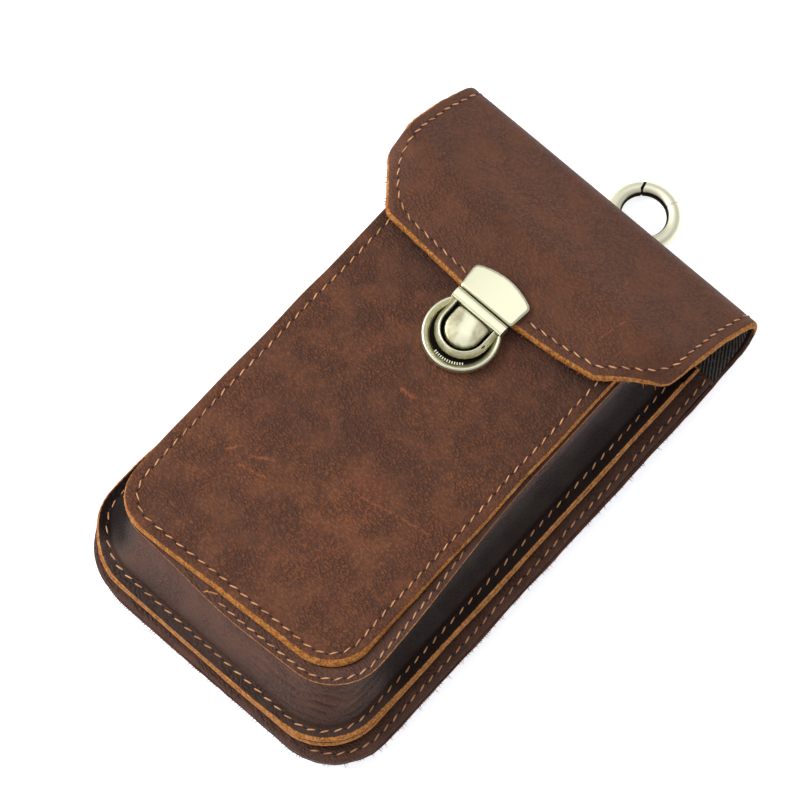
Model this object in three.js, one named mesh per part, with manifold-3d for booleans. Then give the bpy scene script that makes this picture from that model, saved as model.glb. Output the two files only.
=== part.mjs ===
// A small two-pocket leather belt bag with a tuck lock, lying closed on its back.
// Millimetres. +X is the bag's right as its front is seen, +Y runs from its bottom to the fold of
// the flap, +Z is up. Heights in the tables are measured from the underside of the back panel.

import * as THREE from 'three';
import { mergeVertices } from 'three/addons/utils/BufferGeometryUtils.js';
import Module from 'manifold-3d';

const wasm = await Module();
wasm.setup();

// Driving dimensions

const GAP = 0.3;
const HIDE = { back: 2.0, middle: 1.8, strip: 1.2, front: 2.0, loop: 1.7, tab: 1.1, lining: 0.8 };

const BACK = { left: -53.0, right: 56.3, bottom: 0, radius: 20, foldStart: 178.2 };
const FOLD = { midRadius: 7.5, slope: 30, kneeRadius: 20, tip: 130.9, lead: 26, flatRun: 60 };
const REAR_POCKET = { depth: 4.3, top: 153 };
const FRONT_POCKET = { depth: 17.4, top: 150 };
const MIDDLE = { left: -51.6, right: 51.2, bottom: 2.4, radius: 19.5, top: REAR_POCKET.top };
const FRONT = {
  left: -47.2, right: 38.6, bottom: 17, radius: 14, top: FRONT_POCKET.top,
  crown: 1.0, slant: 0.055, slantFade: 60,
};

// Where the wall of each gusset meets its lower and upper flange, and how far the flanges turn out
const REAR_GUSSET = {
  lower: { left: -45.6, right: 48.5, bottom: 7.8, radius: 12.5, top: REAR_POCKET.top },
  upper: { left: -45.0, right: 44.2, bottom: 9.2, radius: 13, top: REAR_POCKET.top },
  lowerFlange: 7.2, upperFlange: 6.4, belly: 0.4, gather: 0,
};
const FRONT_GUSSET = {
  lower: { left: -45.2, right: 44.6, bottom: 9, radius: 13.5, top: FRONT_POCKET.top },
  upper: {
    left: -45.9, right: 38.3, bottom: 18.2, radius: 12, top: FRONT_POCKET.top,
    slant: FRONT.slant, slantFade: FRONT.slantFade,
  },
  lowerFlange: 6.2, upperFlange: 4.3, belly: 1.3, gather: 0.7,
};

// Heights of the layers, stacked from the back with a small gap between neighbours
const Z = {};
Z.backTop = HIDE.back;
Z.rearBase = Z.backTop + GAP;
Z.rearTop = Z.rearBase + REAR_POCKET.depth;
Z.middleBase = Z.rearTop + GAP;
Z.middleTop = Z.middleBase + HIDE.middle;
Z.frontBase = Z.middleTop + GAP;
Z.frontTop = Z.frontBase + FRONT_POCKET.depth;
Z.panelBase = Z.frontTop + GAP;
Z.panelTop = Z.panelBase + HIDE.front;
Z.seat = Z.panelTop + FRONT.crown + GAP;

// The flap's side edges: past is the way along the hide from the start of the fold, before which the
// back widens to the width of the fold
const FLAP_SIDES = [
  { past: -FOLD.lead, left: BACK.left, right: BACK.right },
  { past: 0, left: -56.8, right: 55.4 },
  { past: 12, left: -57.6, right: 54.2 },
  { past: 30, left: -58.6, right: 52.6 },
  { past: 50, left: -58.4, right: 52.2 },
];
// The flap's cut corners and shallow point, by the height of each row above the bag's bottom
const FLAP_FOOT = [
  { y: 149.3, left: -58.0, right: 50.8 },
  { y: 135.5, left: -47.0, right: 33.6 },
  { y: 133.4, left: -45.2, right: 21.5 },
  { y: 132.3, left: -31.3, right: 14.0 },
  { y: FOLD.tip, left: -12.0, right: 2.0 },
];
const DROOP = { reach: 2, rate: 0.03, from: 44, full: 57 };
const LINING = { onBack: 24, onFlap: 43, inset: 1.6 };

const LOCK = { x: -3.9, y: 120.5, rimRadius: 11.8, basinRadius: 10, rimHeight: 2.7, floor: 1.2 };
// The rounded section of the lock's rim: in from its outer radius and up from its seat
const RIM = [
  { inset: 0.4, up: 0 },
  { inset: 0, up: 0.5 },
  { inset: 0, up: 1.35 },
  { inset: 0.35, up: 2.2 },
  { inset: 0.9, up: LOCK.rimHeight },
  { inset: 1.35, up: 2.3 },
  { inset: LOCK.rimRadius - LOCK.basinRadius, up: 1.6 },
];
const BAR = { halfLength: 9.6, low: 6.8, high: 9.7, height: 5, round: 1.4 };
const SLOT = { halfWidth: 6.3, low: 2.1, high: 3.8 };
const BUTTON = {
  centre: 1.2, top: 6.1, halfOuter: 8.6, halfInner: 6.9, halfShield: 6.0,
  floor: 0.8, wallTop: 4.2, crown: 4.1, crownSide: 2.9, bevel: 0.35, clear: 0.3,
};
const PLATE = {
  halfFoot: 9.3, halfHead: 10.0, foot: 11.0, shoulder: 18.4, crest: 21.0, corner: 1.2, lip: 0.3,
  thickness: 1.5, bevel: 0.35,
};
const TONGUE = { halfWidth: 5.7, tip: 6.6, low: 2.5, high: 3.5, root: 13 };

const LOOP = { x: 0, halfWidth: 20, clear: 4.6, start: 62, end: 146, sewn: 12, ramp: 6 };
const RING = { x: 5.4, midRadius: 9.4, wire: 1.9, split: 132, hinge: 60, noseGap: 0.3 };
const KNUCKLE = {
  radius: 2.2, slotHalf: 0.75, lugHalf: 0.45, pin: 0.55, hole: 0.85, lug: 1.4, pinRoot: 0.4,
};
// Degrees of wire on either side of the ring's hinge and split, before they are cut to fit
const WIRE = { beforeHinge: 6, knuckle: 24, neck: 26, noseBefore: 24, nosePast: 12 };
const TAB = { halfWidth: 3.5, tail: 150, slack: 0.15 };

const LIFT = LOOP.clear + HIDE.loop;
const sag = RING.midRadius - Math.sqrt(RING.midRadius ** 2 - TAB.halfWidth ** 2);
TAB.eye = RING.wire + sag + TAB.slack;
TAB.outer = TAB.eye + HIDE.tab;
const FOLD_OUTER = FOLD.midRadius + HIDE.back / 2;
const eyeZ = TAB.outer - LIFT;
const eyeReach = FOLD_OUTER + TAB.outer + GAP;
const EYE = {
  y: BACK.foldStart + Math.sqrt(eyeReach ** 2 - (FOLD_OUTER - eyeZ) ** 2),
  z: eyeZ,
};
const RING_TILT = Math.asin((EYE.z + LIFT - RING.wire) / (2 * RING.midRadius));

const rad = THREE.MathUtils.degToRad;
// How far a cutting shape runs past what it cuts, and how finely the round things are stepped
const PAST = 1;
const STEPS = {
  panelColumns: 8, hideColumns: 10, liningColumns: 6, cutCorner: 4, fold: 10, liningFold: 8,
  rim: 40, basin: 48, noseCut: 64, pin: 12, ring: 30, gate: 14, knuckle: 5, wireSides: 12,
};
const LEATHER = { color: 0x5a3420, roughness: 0.62, metalness: 0 };
const TWILL = { color: 0x16120f, roughness: 0.85, metalness: 0 };
const BRASS = { color: 0xb8a878, roughness: 0.32, metalness: 0.9 };

// Meshes made of points and triangles

function geometryFrom(points, triangles) {
  const geometry = new THREE.BufferGeometry();
  const places = points.flatMap((p) => [p.x, p.y, p.z]);
  geometry.setAttribute('position', new THREE.Float32BufferAttribute(places, 3));
  geometry.setIndex(triangles.flat());
  return geometry;
}

function signedVolume(points, triangles) {
  return triangles.reduce((sum, [a, b, c]) => {
    const across = new THREE.Vector3().crossVectors(points[b], points[c]);
    return sum + points[a].dot(across) / 6;
  }, 0);
}

// A closed skin through rings of points that match one to one, with both end rings capped
function loft(rings, capTriangles) {
  const count = rings[0].length;
  const points = rings.flat();
  const triangles = [];
  for (let r = 0; r + 1 < rings.length; r += 1) {
    for (let i = 0; i < count; i += 1) {
      const next = (i + 1) % count;
      const [a, b] = [r * count + i, r * count + next];
      const [c, d] = [a + count, b + count];
      triangles.push([a, b, d], [a, d, c]);
    }
  }
  const last = (rings.length - 1) * count;
  for (const [a, b, c] of capTriangles) {
    triangles.push([c, b, a], [last + a, last + b, last + c]);
  }
  if (signedVolume(points, triangles) < 0) {
    triangles.forEach((triangle) => triangle.reverse());
  }
  return geometryFrom(points, triangles);
}

// A sheet of hide or cloth: each station gives its side edges and a point for any x on either face
function sheet(stations, columns) {
  const steps = Array.from({ length: columns + 1 }, (_, i) => i / columns);
  const rings = stations.map(({ left, right, at }) => {
    const xs = steps.map((f) => THREE.MathUtils.lerp(left, right, f));
    const upper = xs.map((x) => at(x, 1));
    const lower = xs.map((x) => at(x, -1));
    return [...upper, ...lower.reverse()];
  });
  const cap = [];
  const end = 2 * columns + 1;
  for (let i = 0; i < columns; i += 1) {
    cap.push([i, i + 1, end - i - 1], [i, end - i - 1, end - i]);
  }
  return loft(rings, cap);
}

function solidOf(geometry) {
  const bare = geometry.clone();
  bare.deleteAttribute('normal');
  bare.deleteAttribute('uv');
  const merged = mergeVertices(bare);
  const vertProperties = new Float32Array(merged.attributes.position.array);
  const triVerts = new Uint32Array(merged.index.array);
  return new wasm.Manifold(new wasm.Mesh({ numProp: 3, vertProperties, triVerts }));
}

function geometryOf(solid) {
  const { vertProperties, triVerts } = solid.getMesh();
  const geometry = new THREE.BufferGeometry();
  geometry.setAttribute('position', new THREE.BufferAttribute(vertProperties, 3));
  geometry.setIndex(new THREE.BufferAttribute(triVerts, 1));
  return geometry;
}

function boxSolid(low, high) {
  const geometry = new THREE.BoxGeometry(high[0] - low[0], high[1] - low[1], high[2] - low[2]);
  geometry.translate((low[0] + high[0]) / 2, (low[1] + high[1]) / 2, (low[2] + high[2]) / 2);
  return solidOf(geometry);
}

// A round bar along Z between two heights
function postSolid(radius, x, y, low, high, sides = 24) {
  const geometry = new THREE.CylinderGeometry(radius, radius, high - low, sides);
  geometry.rotateX(Math.PI / 2);
  geometry.translate(x, y, (low + high) / 2);
  return solidOf(geometry);
}

// A side profile of (y, z) points pulled out along X
function extrudeAcross(shape, fromX, toX, curveSegments = 8) {
  const geometry = new THREE.ExtrudeGeometry(shape, {
    depth: toX - fromX, bevelEnabled: false, curveSegments,
  });
  const axes = new THREE.Matrix4().makeBasis(
    new THREE.Vector3(0, 1, 0),
    new THREE.Vector3(0, 0, 1),
    new THREE.Vector3(1, 0, 0),
  );
  geometry.applyMatrix4(axes);
  geometry.translate(fromX, 0, 0);
  return geometry;
}

// The bottom edge of a soft panel hangs a little lower at one side, and the slant fades upwards
function slantShift(x, y, outline) {
  const { left, right, bottom, slant = 0, slantFade = 1 } = outline;
  const fade = THREE.MathUtils.clamp(1 - (y - bottom) / slantFade, 0, 1);
  return slant * (x - (left + right) / 2) * fade;
}

// Rows of a flat panel with round lower corners, from its bottom edge up to its top edge
function panelRows({ left, right, bottom, radius, top }, arcSteps = 7, straightSteps = 6) {
  const rows = [];
  for (let k = 0; k <= arcSteps; k += 1) {
    const turn = (k / arcSteps) * (Math.PI / 2);
    const inset = radius * (1 - Math.sin(turn));
    rows.push({ y: bottom + radius * (1 - Math.cos(turn)), left: left + inset, right: right - inset });
  }
  for (let k = 1; k <= straightSteps; k += 1) {
    rows.push({ y: THREE.MathUtils.lerp(bottom + radius, top, k / straightSteps), left, right });
  }
  return rows;
}

function panelGeometry(outline, base, thickness) {
  const { left, right, bottom, top, crown = 0 } = outline;
  const swell = (x, y) => {
    const u = (2 * x - left - right) / (right - left);
    const v = (2 * y - bottom - top) / (top - bottom);
    return crown * (1 - u ** 4) * (1 - v ** 4);
  };
  const stations = panelRows(outline).map((row) => ({
    ...row,
    at: (x, side) => new THREE.Vector3(
      x,
      row.y + slantShift(x, row.y, outline),
      base + thickness * (side + 1) / 2 + swell(x, row.y),
    ),
  }));
  return sheet(stations, STEPS.panelColumns);
}

// The way of a gusset: down the left side, round both lower corners and up the right side
function gussetLine(outline, sideSteps = 6, arcSteps = 8, bottomSteps = 6) {
  const { left, right, bottom, radius, top } = outline;
  const line = [];
  const arc = (cx, from) => {
    for (let k = 0; k <= arcSteps; k += 1) {
      const turn = from + (k / arcSteps) * (Math.PI / 2);
      const out = new THREE.Vector2(Math.cos(turn), Math.sin(turn));
      const gathered = Math.sin((k / arcSteps) * Math.PI) * Math.cos(k * Math.PI);
      line.push({ x: cx + radius * out.x, y: bottom + radius + radius * out.y, out, gathered });
    }
  };
  const run = (steps, from, to, out) => {
    for (let k = 0; k < steps; k += 1) {
      const p = new THREE.Vector2().lerpVectors(from, to, k / steps);
      line.push({ x: p.x, y: p.y, out, gathered: 0 });
    }
  };
  const west = new THREE.Vector2(-1, 0);
  const south = new THREE.Vector2(0, -1);
  const east = new THREE.Vector2(1, 0);
  run(sideSteps, new THREE.Vector2(left, top), new THREE.Vector2(left, bottom + radius), west);
  arc(left + radius, Math.PI);
  const [lowLeft, lowRight] = [left + radius, right - radius].map((x) => new THREE.Vector2(x, bottom));
  run(bottomSteps, lowLeft, lowRight, south);
  line.splice(sideSteps + arcSteps + 1, 1);
  arc(right - radius, 1.5 * Math.PI);
  const [turnTop, endTop] = [bottom + radius, top].map((y) => new THREE.Vector2(right, y));
  run(sideSteps, turnTop, endTop, east);
  line.splice(line.length - sideSteps, 1);
  line.push({ x: right, y: top, out: east, gathered: 0 });
  return line.map((p) => ({ ...p, y: p.y + slantShift(p.x, p.y, outline) }));
}

// A strip with both edges turned out flat, lofted along its lower and upper lines
function gussetGeometry(spec, base, top) {
  const { lowerFlange, upperFlange, belly, gather } = spec;
  const t = HIDE.strip;
  const middle = (base + top) / 2;
  const section = [
    { rise: 1, out: upperFlange, z: top, soft: 0 },
    { rise: 1, out: -t, z: top, soft: 0 },
    { rise: 0.5, out: belly - t, z: middle, soft: 1 },
    { rise: 0, out: -t, z: base, soft: 0 },
    { rise: 0, out: lowerFlange, z: base, soft: 0 },
    { rise: 0, out: lowerFlange, z: base + t, soft: 0 },
    { rise: 0, out: 0, z: base + t, soft: 0 },
    { rise: 0.5, out: belly, z: middle, soft: 1 },
    { rise: 1, out: 0, z: top - t, soft: 0 },
    { rise: 1, out: upperFlange, z: top - t, soft: 0 },
  ];
  const lower = gussetLine(spec.lower);
  const upper = gussetLine(spec.upper);
  const rings = lower.map((low, i) => section.map(({ rise, out, z, soft }) => {
    const reach = out + soft * gather * low.gathered;
    const x = THREE.MathUtils.lerp(low.x, upper[i].x, rise) + low.out.x * reach;
    const y = THREE.MathUtils.lerp(low.y, upper[i].y, rise) + low.out.y * reach;
    return new THREE.Vector3(x, y, z);
  }));
  const flat = rings[0].map((p) => new THREE.Vector2(p.x, p.z));
  const turned = THREE.ShapeUtils.isClockWise(flat);
  const order = flat.map((_, i) => (turned ? flat.length - 1 - i : i));
  const cap = THREE.ShapeUtils.triangulateShape(order.map((i) => flat[i]), [])
    .map((triangle) => triangle.map((i) => order[i]))
    .map((triangle) => (turned ? triangle.reverse() : triangle));
  return loft(rings, cap);
}

// The hide's middle line, seen from the side: back, fold, slope, knee, and the flap lying flat
const FOLD_TURN = Math.PI - rad(FOLD.slope);
const slopeRise = Z.seat - FOLD.midRadius * (1 - Math.cos(FOLD_TURN))
  - FOLD.kneeRadius * (1 - Math.cos(rad(FOLD.slope)));
const COURSE = [
  { length: BACK.foldStart, turn: 0 },
  { length: FOLD.midRadius * FOLD_TURN, turn: FOLD_TURN },
  { length: slopeRise / Math.sin(rad(FOLD.slope)), turn: 0 },
  { length: FOLD.kneeRadius * rad(FOLD.slope), turn: rad(FOLD.slope) },
  { length: FOLD.flatRun, turn: 0 },
];

// The place and the inward direction at a distance along the hide from the bottom of the back
function alongHide(distance) {
  let [y, z, heading, left] = [0, HIDE.back / 2, 0, distance];
  for (const { length, turn } of COURSE) {
    const part = Math.min(left, length);
    if (turn === 0) {
      y += part * Math.cos(heading);
      z += part * Math.sin(heading);
    } else {
      const radius = length / turn;
      const next = heading + part / radius;
      y += radius * (Math.sin(next) - Math.sin(heading));
      z += radius * (Math.cos(heading) - Math.cos(next));
      heading = next;
    }
    left -= part;
    if (left <= 0) break;
  }
  return { y, z, inY: -Math.sin(heading), inZ: Math.cos(heading) };
}

const FLAT_START = COURSE.slice(0, 4).reduce((sum, { length }) => sum + length, 0);
const FLAT_Y = alongHide(FLAT_START).y;

function flapSidesAt(past) {
  const table = [...FLAP_SIDES, ...FLAP_FOOT.map(({ y, left, right }) => ({
    past: FLAT_START - BACK.foldStart + FLAT_Y - y, left, right,
  }))];
  const after = table.findIndex((row) => row.past >= past);
  if (after <= 0) return table[after === 0 ? 0 : table.length - 1];
  const [a, b] = [table[after - 1], table[after]];
  const f = (past - a.past) / (b.past - a.past);
  return {
    left: THREE.MathUtils.lerp(a.left, b.left, f),
    right: THREE.MathUtils.lerp(a.right, b.right, f),
  };
}

// Beyond the sides of the front panel the flap hangs a little
function droopAt(x, past) {
  const over = Math.max(FRONT.left + DROOP.reach - x, x - FRONT.right + DROOP.reach, 0);
  return DROOP.rate * over ** 2 * THREE.MathUtils.smoothstep(past, DROOP.from, DROOP.full);
}

// A station on the hide: inner and outer are the faces' distances inwards from its middle line
function hideStation(distance, sides, inner, outer) {
  const { y, z, inY, inZ } = alongHide(distance);
  const past = distance - BACK.foldStart;
  return {
    ...sides,
    at: (x, side) => {
      const depth = side > 0 ? inner : outer;
      return new THREE.Vector3(x, y + inY * depth, z + inZ * depth - droopAt(x, past));
    },
  };
}

function backFlapGeometry() {
  const half = HIDE.back / 2;
  const rows = panelRows({ ...BACK, top: BACK.foldStart - FOLD.lead })
    .map(({ y, left, right }) => hideStation(y, { left, right }, half, -half));
  const pastFoot = FLAP_FOOT.map(({ y }) => FLAT_START - BACK.foldStart + FLAT_Y - y);
  const cutCorner = Array.from({ length: STEPS.cutCorner }, (_, k) => (
    THREE.MathUtils.lerp(pastFoot[0], pastFoot[1], (k + 1) / (STEPS.cutCorner + 1))
  ));
  pastFoot.splice(1, 0, ...cutCorner);
  const foldLength = COURSE[1].length;
  const folds = Array.from({ length: STEPS.fold + 1 }, (_, k) => (k / STEPS.fold) * foldLength);
  const slopes = [0.25, 0.5, 0.75, 1].map((f) => foldLength + f * COURSE[2].length);
  const knees = [0.5, 1].map((f) => foldLength + COURSE[2].length + f * COURSE[3].length);
  for (const past of [...folds, ...slopes, ...knees, ...pastFoot]) {
    rows.push(hideStation(BACK.foldStart + past, flapSidesAt(past), half, -half));
  }
  return sheet(rows, STEPS.hideColumns);
}

function flapLiningGeometry() {
  const near = HIDE.back / 2 + GAP;
  const far = near + HIDE.lining;
  const foldLength = COURSE[1].length;
  const folds = Array.from(
    { length: STEPS.liningFold + 1 },
    (_, k) => (k / STEPS.liningFold) * foldLength,
  );
  const rows = [-LINING.onBack, ...folds, (foldLength + LINING.onFlap) / 2, LINING.onFlap]
    .map((past) => {
      const { left, right } = flapSidesAt(past);
      const sides = { left: left + LINING.inset, right: right - LINING.inset };
      return hideStation(BACK.foldStart + past, sides, far, near);
    });
  return sheet(rows, STEPS.liningColumns);
}

// The tuck lock: heights count from its seat on the front panel, places from its centre

function lockBaseGeometry() {
  const profile = [
    new THREE.Vector2(0, 0),
    ...RIM.map(({ inset, up }) => new THREE.Vector2(LOCK.rimRadius - inset, up)),
    new THREE.Vector2(LOCK.basinRadius, LOCK.floor),
    new THREE.Vector2(0, LOCK.floor),
  ];
  const dish = new THREE.LatheGeometry(profile, STEPS.rim);
  dish.rotateX(Math.PI / 2);
  const reach = LOCK.rimRadius + PAST;
  const crop = boxSolid([-reach, -reach, -PAST], [reach, BAR.high, LOCK.rimHeight + PAST]);
  const bar = new THREE.Shape();
  bar.moveTo(BAR.low, 0);
  bar.lineTo(BAR.high, 0);
  bar.lineTo(BAR.high, BAR.height - BAR.round);
  bar.absarc(BAR.high - BAR.round, BAR.height - BAR.round, BAR.round, 0, Math.PI / 2);
  bar.absarc(BAR.low + BAR.round, BAR.height - BAR.round, BAR.round, Math.PI / 2, Math.PI);
  bar.closePath();
  const bridge = solidOf(extrudeAcross(bar, -BAR.halfLength, BAR.halfLength));
  const slot = boxSolid(
    [-SLOT.halfWidth, BAR.low - PAST, SLOT.low],
    [SLOT.halfWidth, BAR.high + PAST, SLOT.high],
  );
  return geometryOf(solidOf(dish).intersect(crop).add(bridge).subtract(slot));
}

// A straight-sided shape with a round foot, open towards the bar
function roundFoot(half, centre, top) {
  const shape = new THREE.Shape();
  shape.moveTo(-half, top);
  shape.lineTo(-half, centre);
  shape.absarc(0, centre, half, Math.PI, 2 * Math.PI);
  shape.lineTo(half, top);
  shape.closePath();
  return shape;
}

function lockButtonGeometry() {
  const { centre, top, halfOuter, halfInner, halfShield, bevel } = BUTTON;
  const low = LOCK.floor + GAP;
  const floor = low + BUTTON.floor;
  const block = new THREE.ExtrudeGeometry(roundFoot(halfOuter - bevel, centre, top - bevel), {
    depth: BUTTON.wallTop - bevel, curveSegments: 24,
    bevelThickness: bevel, bevelSize: bevel, bevelSegments: 1,
  });
  const inside = LOCK.basinRadius - BUTTON.clear;
  const inBasin = postSolid(inside, 0, 0, low, BUTTON.wallTop + PAST, STEPS.basin);
  const well = new THREE.ExtrudeGeometry(roundFoot(halfInner, centre, top + PAST), {
    depth: BUTTON.wallTop, curveSegments: 24, bevelEnabled: false,
  });
  well.translate(0, 0, floor);
  const shield = new THREE.ExtrudeGeometry(roundFoot(halfShield, centre, top - bevel), {
    depth: BUTTON.wallTop + PAST, curveSegments: 24, bevelEnabled: false,
  });
  const arch = new THREE.Shape();
  const spring = halfShield + PAST;
  arch.moveTo(-spring, low);
  arch.lineTo(spring, low);
  arch.lineTo(spring, BUTTON.crownSide);
  arch.quadraticCurveTo(0, 2 * BUTTON.crown - BUTTON.crownSide, -spring, BUTTON.crownSide);
  arch.closePath();
  const vault = new THREE.ExtrudeGeometry(arch, {
    depth: 2 * LOCK.rimRadius, curveSegments: 12, bevelEnabled: false,
  });
  vault.rotateX(Math.PI / 2);
  vault.translate(0, LOCK.rimRadius, 0);
  const dome = solidOf(shield).intersect(solidOf(vault));
  return geometryOf(solidOf(block).intersect(inBasin).subtract(solidOf(well)).add(dome));
}

function lockPlateGeometry() {
  const { halfFoot, halfHead, foot, shoulder, crest, corner, lip, bevel } = PLATE;
  const crestPull = 2 * (crest - bevel) - shoulder - lip;
  const shape = new THREE.Shape();
  shape.moveTo(-halfFoot + bevel, foot + bevel);
  shape.lineTo(halfFoot - bevel, foot + bevel);
  shape.lineTo(halfHead - bevel, shoulder - corner);
  shape.quadraticCurveTo(halfHead - bevel, shoulder, halfHead - corner, shoulder + lip);
  shape.quadraticCurveTo(0, crestPull, -halfHead + corner, shoulder + lip);
  shape.quadraticCurveTo(-halfHead + bevel, shoulder, -halfHead + bevel, shoulder - corner);
  shape.closePath();
  const face = new THREE.ExtrudeGeometry(shape, {
    depth: PLATE.thickness - bevel, curveSegments: 8,
    bevelThickness: bevel, bevelSize: bevel, bevelSegments: 2,
  });
  face.translate(0, 0, HIDE.back + GAP + bevel);
  const tongue = boxSolid(
    [-TONGUE.halfWidth, TONGUE.tip, TONGUE.low],
    [TONGUE.halfWidth, TONGUE.root, TONGUE.high],
  );
  return geometryOf(solidOf(face).add(tongue));
}

// The ring and its sprung gate, in the plane of the ring, with its near side at -Y

function wireArc(fromDegrees, toDegrees, steps) {
  const sides = STEPS.wireSides;
  const rings = Array.from({ length: steps + 1 }, (_, k) => {
    const turn = rad(THREE.MathUtils.lerp(fromDegrees, toDegrees, k / steps));
    return Array.from({ length: sides }, (__, i) => {
      const round = (i / sides) * 2 * Math.PI;
      const reach = RING.midRadius + RING.wire * Math.cos(round);
      const height = RING.wire * Math.sin(round);
      return new THREE.Vector3(reach * Math.cos(turn), reach * Math.sin(turn), height);
    });
  });
  const cap = Array.from({ length: sides - 2 }, (_, i) => [0, i + 1, i + 2]);
  return solidOf(loft(rings, cap));
}

const hingeX = RING.midRadius * Math.cos(rad(RING.hinge));
const hingeY = RING.midRadius * Math.sin(rad(RING.hinge));
const noseReach = 2 * RING.midRadius * Math.sin(rad(RING.split - RING.hinge) / 2);

function hingePost(radius, half, sides) {
  return postSolid(radius, hingeX, hingeY, -half, half, sides);
}

const wireTall = RING.wire + PAST;
const ringReach = RING.midRadius + wireTall;

function ringGeometry() {
  const { hinge, split } = RING;
  const body = wireArc(split - WIRE.noseBefore, hinge + 360, STEPS.ring);
  const side = boxSolid([-ringReach, 0, -wireTall], [hingeX, ringReach, wireTall]);
  const open = hingePost(noseReach + RING.noseGap / 2, wireTall, STEPS.noseCut).intersect(side);
  const knuckle = wireArc(hinge - WIRE.beforeHinge, hinge + WIRE.knuckle, STEPS.knuckle)
    .intersect(hingePost(KNUCKLE.radius, wireTall));
  const slot = hingePost(KNUCKLE.radius + GAP, KNUCKLE.slotHalf);
  const pin = hingePost(KNUCKLE.pin, KNUCKLE.slotHalf + KNUCKLE.pinRoot, STEPS.pin);
  return geometryOf(body.subtract(open).add(knuckle).subtract(slot).add(pin));
}

function ringGateGeometry() {
  const { hinge, split } = RING;
  const arm = wireArc(hinge, split + WIRE.nosePast, STEPS.gate)
    .intersect(hingePost(noseReach - RING.noseGap / 2, wireTall, STEPS.noseCut))
    .subtract(hingePost(KNUCKLE.radius + GAP, wireTall));
  const slab = boxSolid(
    [-ringReach, -ringReach, -KNUCKLE.lugHalf],
    [ringReach, ringReach, KNUCKLE.lugHalf],
  );
  const neck = wireArc(hinge, hinge + WIRE.neck, STEPS.knuckle).intersect(slab);
  const lug = hingePost(KNUCKLE.lug, KNUCKLE.lugHalf).add(neck);
  return geometryOf(arm.add(lug).subtract(hingePost(KNUCKLE.hole, wireTall, STEPS.pin)));
}

// Hidden pieces on the back: the folded tab that holds the ring, and the belt loop

function ringTabGeometry() {
  const top = -GAP;
  const bottom = top - 2 * HIDE.tab;
  const upperTurn = Math.asin(Math.min(1, (top - EYE.z) / TAB.outer));
  const lowerTurn = Math.asin(Math.max(-1, (bottom - EYE.z) / TAB.outer));
  const shape = new THREE.Shape();
  shape.moveTo(TAB.tail, bottom);
  shape.lineTo(EYE.y - TAB.outer * Math.cos(lowerTurn), bottom);
  shape.absarc(EYE.y, EYE.z, TAB.outer, Math.PI - lowerTurn, 3 * Math.PI - upperTurn);
  shape.lineTo(TAB.tail, top);
  shape.closePath();
  const eye = new THREE.Path();
  eye.absarc(EYE.y, EYE.z, TAB.eye, 0, 2 * Math.PI, true);
  shape.holes.push(eye);
  return extrudeAcross(shape, RING.x - TAB.halfWidth, RING.x + TAB.halfWidth, 24);
}

function beltLoopGeometry() {
  const t = HIDE.loop;
  const { start, end, sewn, ramp } = LOOP;
  const low = -LIFT;
  const shape = new THREE.Shape();
  shape.moveTo(start, -GAP);
  shape.lineTo(start, -GAP - t);
  shape.lineTo(start + sewn - t / 2, -GAP - t);
  shape.lineTo(start + sewn + ramp - t, low);
  shape.lineTo(end - sewn - ramp + t, low);
  shape.lineTo(end - sewn + t / 2, -GAP - t);
  shape.lineTo(end, -GAP - t);
  shape.lineTo(end, -GAP);
  shape.lineTo(end - sewn, -GAP);
  shape.lineTo(end - sewn - ramp, low + t);
  shape.lineTo(start + sewn + ramp, low + t);
  shape.lineTo(start + sewn, -GAP);
  shape.closePath();
  return extrudeAcross(shape, LOOP.x - LOOP.halfWidth, LOOP.x + LOOP.halfWidth);
}

// The assembly

function piece(name, geometry, finish) {
  const flat = geometry.index ? geometry.toNonIndexed() : geometry.clone();
  flat.computeVertexNormals();
  const mesh = new THREE.Mesh(flat, new THREE.MeshStandardMaterial(finish));
  mesh.name = name;
  return mesh;
}

const bag = new THREE.Group();
bag.add(piece('back_flap', backFlapGeometry(), LEATHER));
bag.add(piece('flap_lining', flapLiningGeometry(), TWILL));
bag.add(piece('rear_gusset', gussetGeometry(REAR_GUSSET, Z.rearBase, Z.rearTop), LEATHER));
bag.add(piece('middle_panel', panelGeometry(MIDDLE, Z.middleBase, HIDE.middle), LEATHER));
bag.add(piece('front_gusset', gussetGeometry(FRONT_GUSSET, Z.frontBase, Z.frontTop), LEATHER));
bag.add(piece('front_panel', panelGeometry(FRONT, Z.panelBase, HIDE.front), LEATHER));
bag.add(piece('belt_loop', beltLoopGeometry(), LEATHER));
bag.add(piece('ring_tab', ringTabGeometry(), LEATHER));

const lock = new THREE.Group();
lock.position.set(LOCK.x, LOCK.y, Z.seat);
lock.add(piece('lock_base', lockBaseGeometry(), BRASS));
lock.add(piece('lock_button', lockButtonGeometry(), BRASS));
lock.add(piece('lock_plate', lockPlateGeometry(), BRASS));
bag.add(lock);

const ringGroup = new THREE.Group();
ringGroup.position.set(
  RING.x,
  EYE.y + RING.midRadius * Math.cos(RING_TILT),
  EYE.z - RING.midRadius * Math.sin(RING_TILT),
);
ringGroup.rotation.x = -RING_TILT;
ringGroup.add(piece('ring', ringGeometry(), BRASS));
ringGroup.add(piece('ring_gate', ringGateGeometry(), BRASS));
bag.add(ringGroup);

// The origin is the middle of the footprint on the surface that the bag lies on
const part = new THREE.Group();
const footprint = new THREE.Box3().setFromObject(bag);
const middle = footprint.getCenter(new THREE.Vector3());
bag.position.set(-middle.x, -middle.y, LIFT);
part.add(bag);
part.updateMatrixWorld(true);

export default part;
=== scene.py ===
# %% [markdown]
# # A leather belt bag, made as a maker makes it
# The bag is cut from flat hides, folded, stacked in layers and sewn, and its brass is added last.
# This lesson follows that order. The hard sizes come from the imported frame, and each soft piece is
# cut flat as a pattern, laid in its place and given the thickness of its leather.

import math

import bmesh
import bpy
from mathutils import Matrix, Vector, geometry, kdtree, noise


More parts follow.
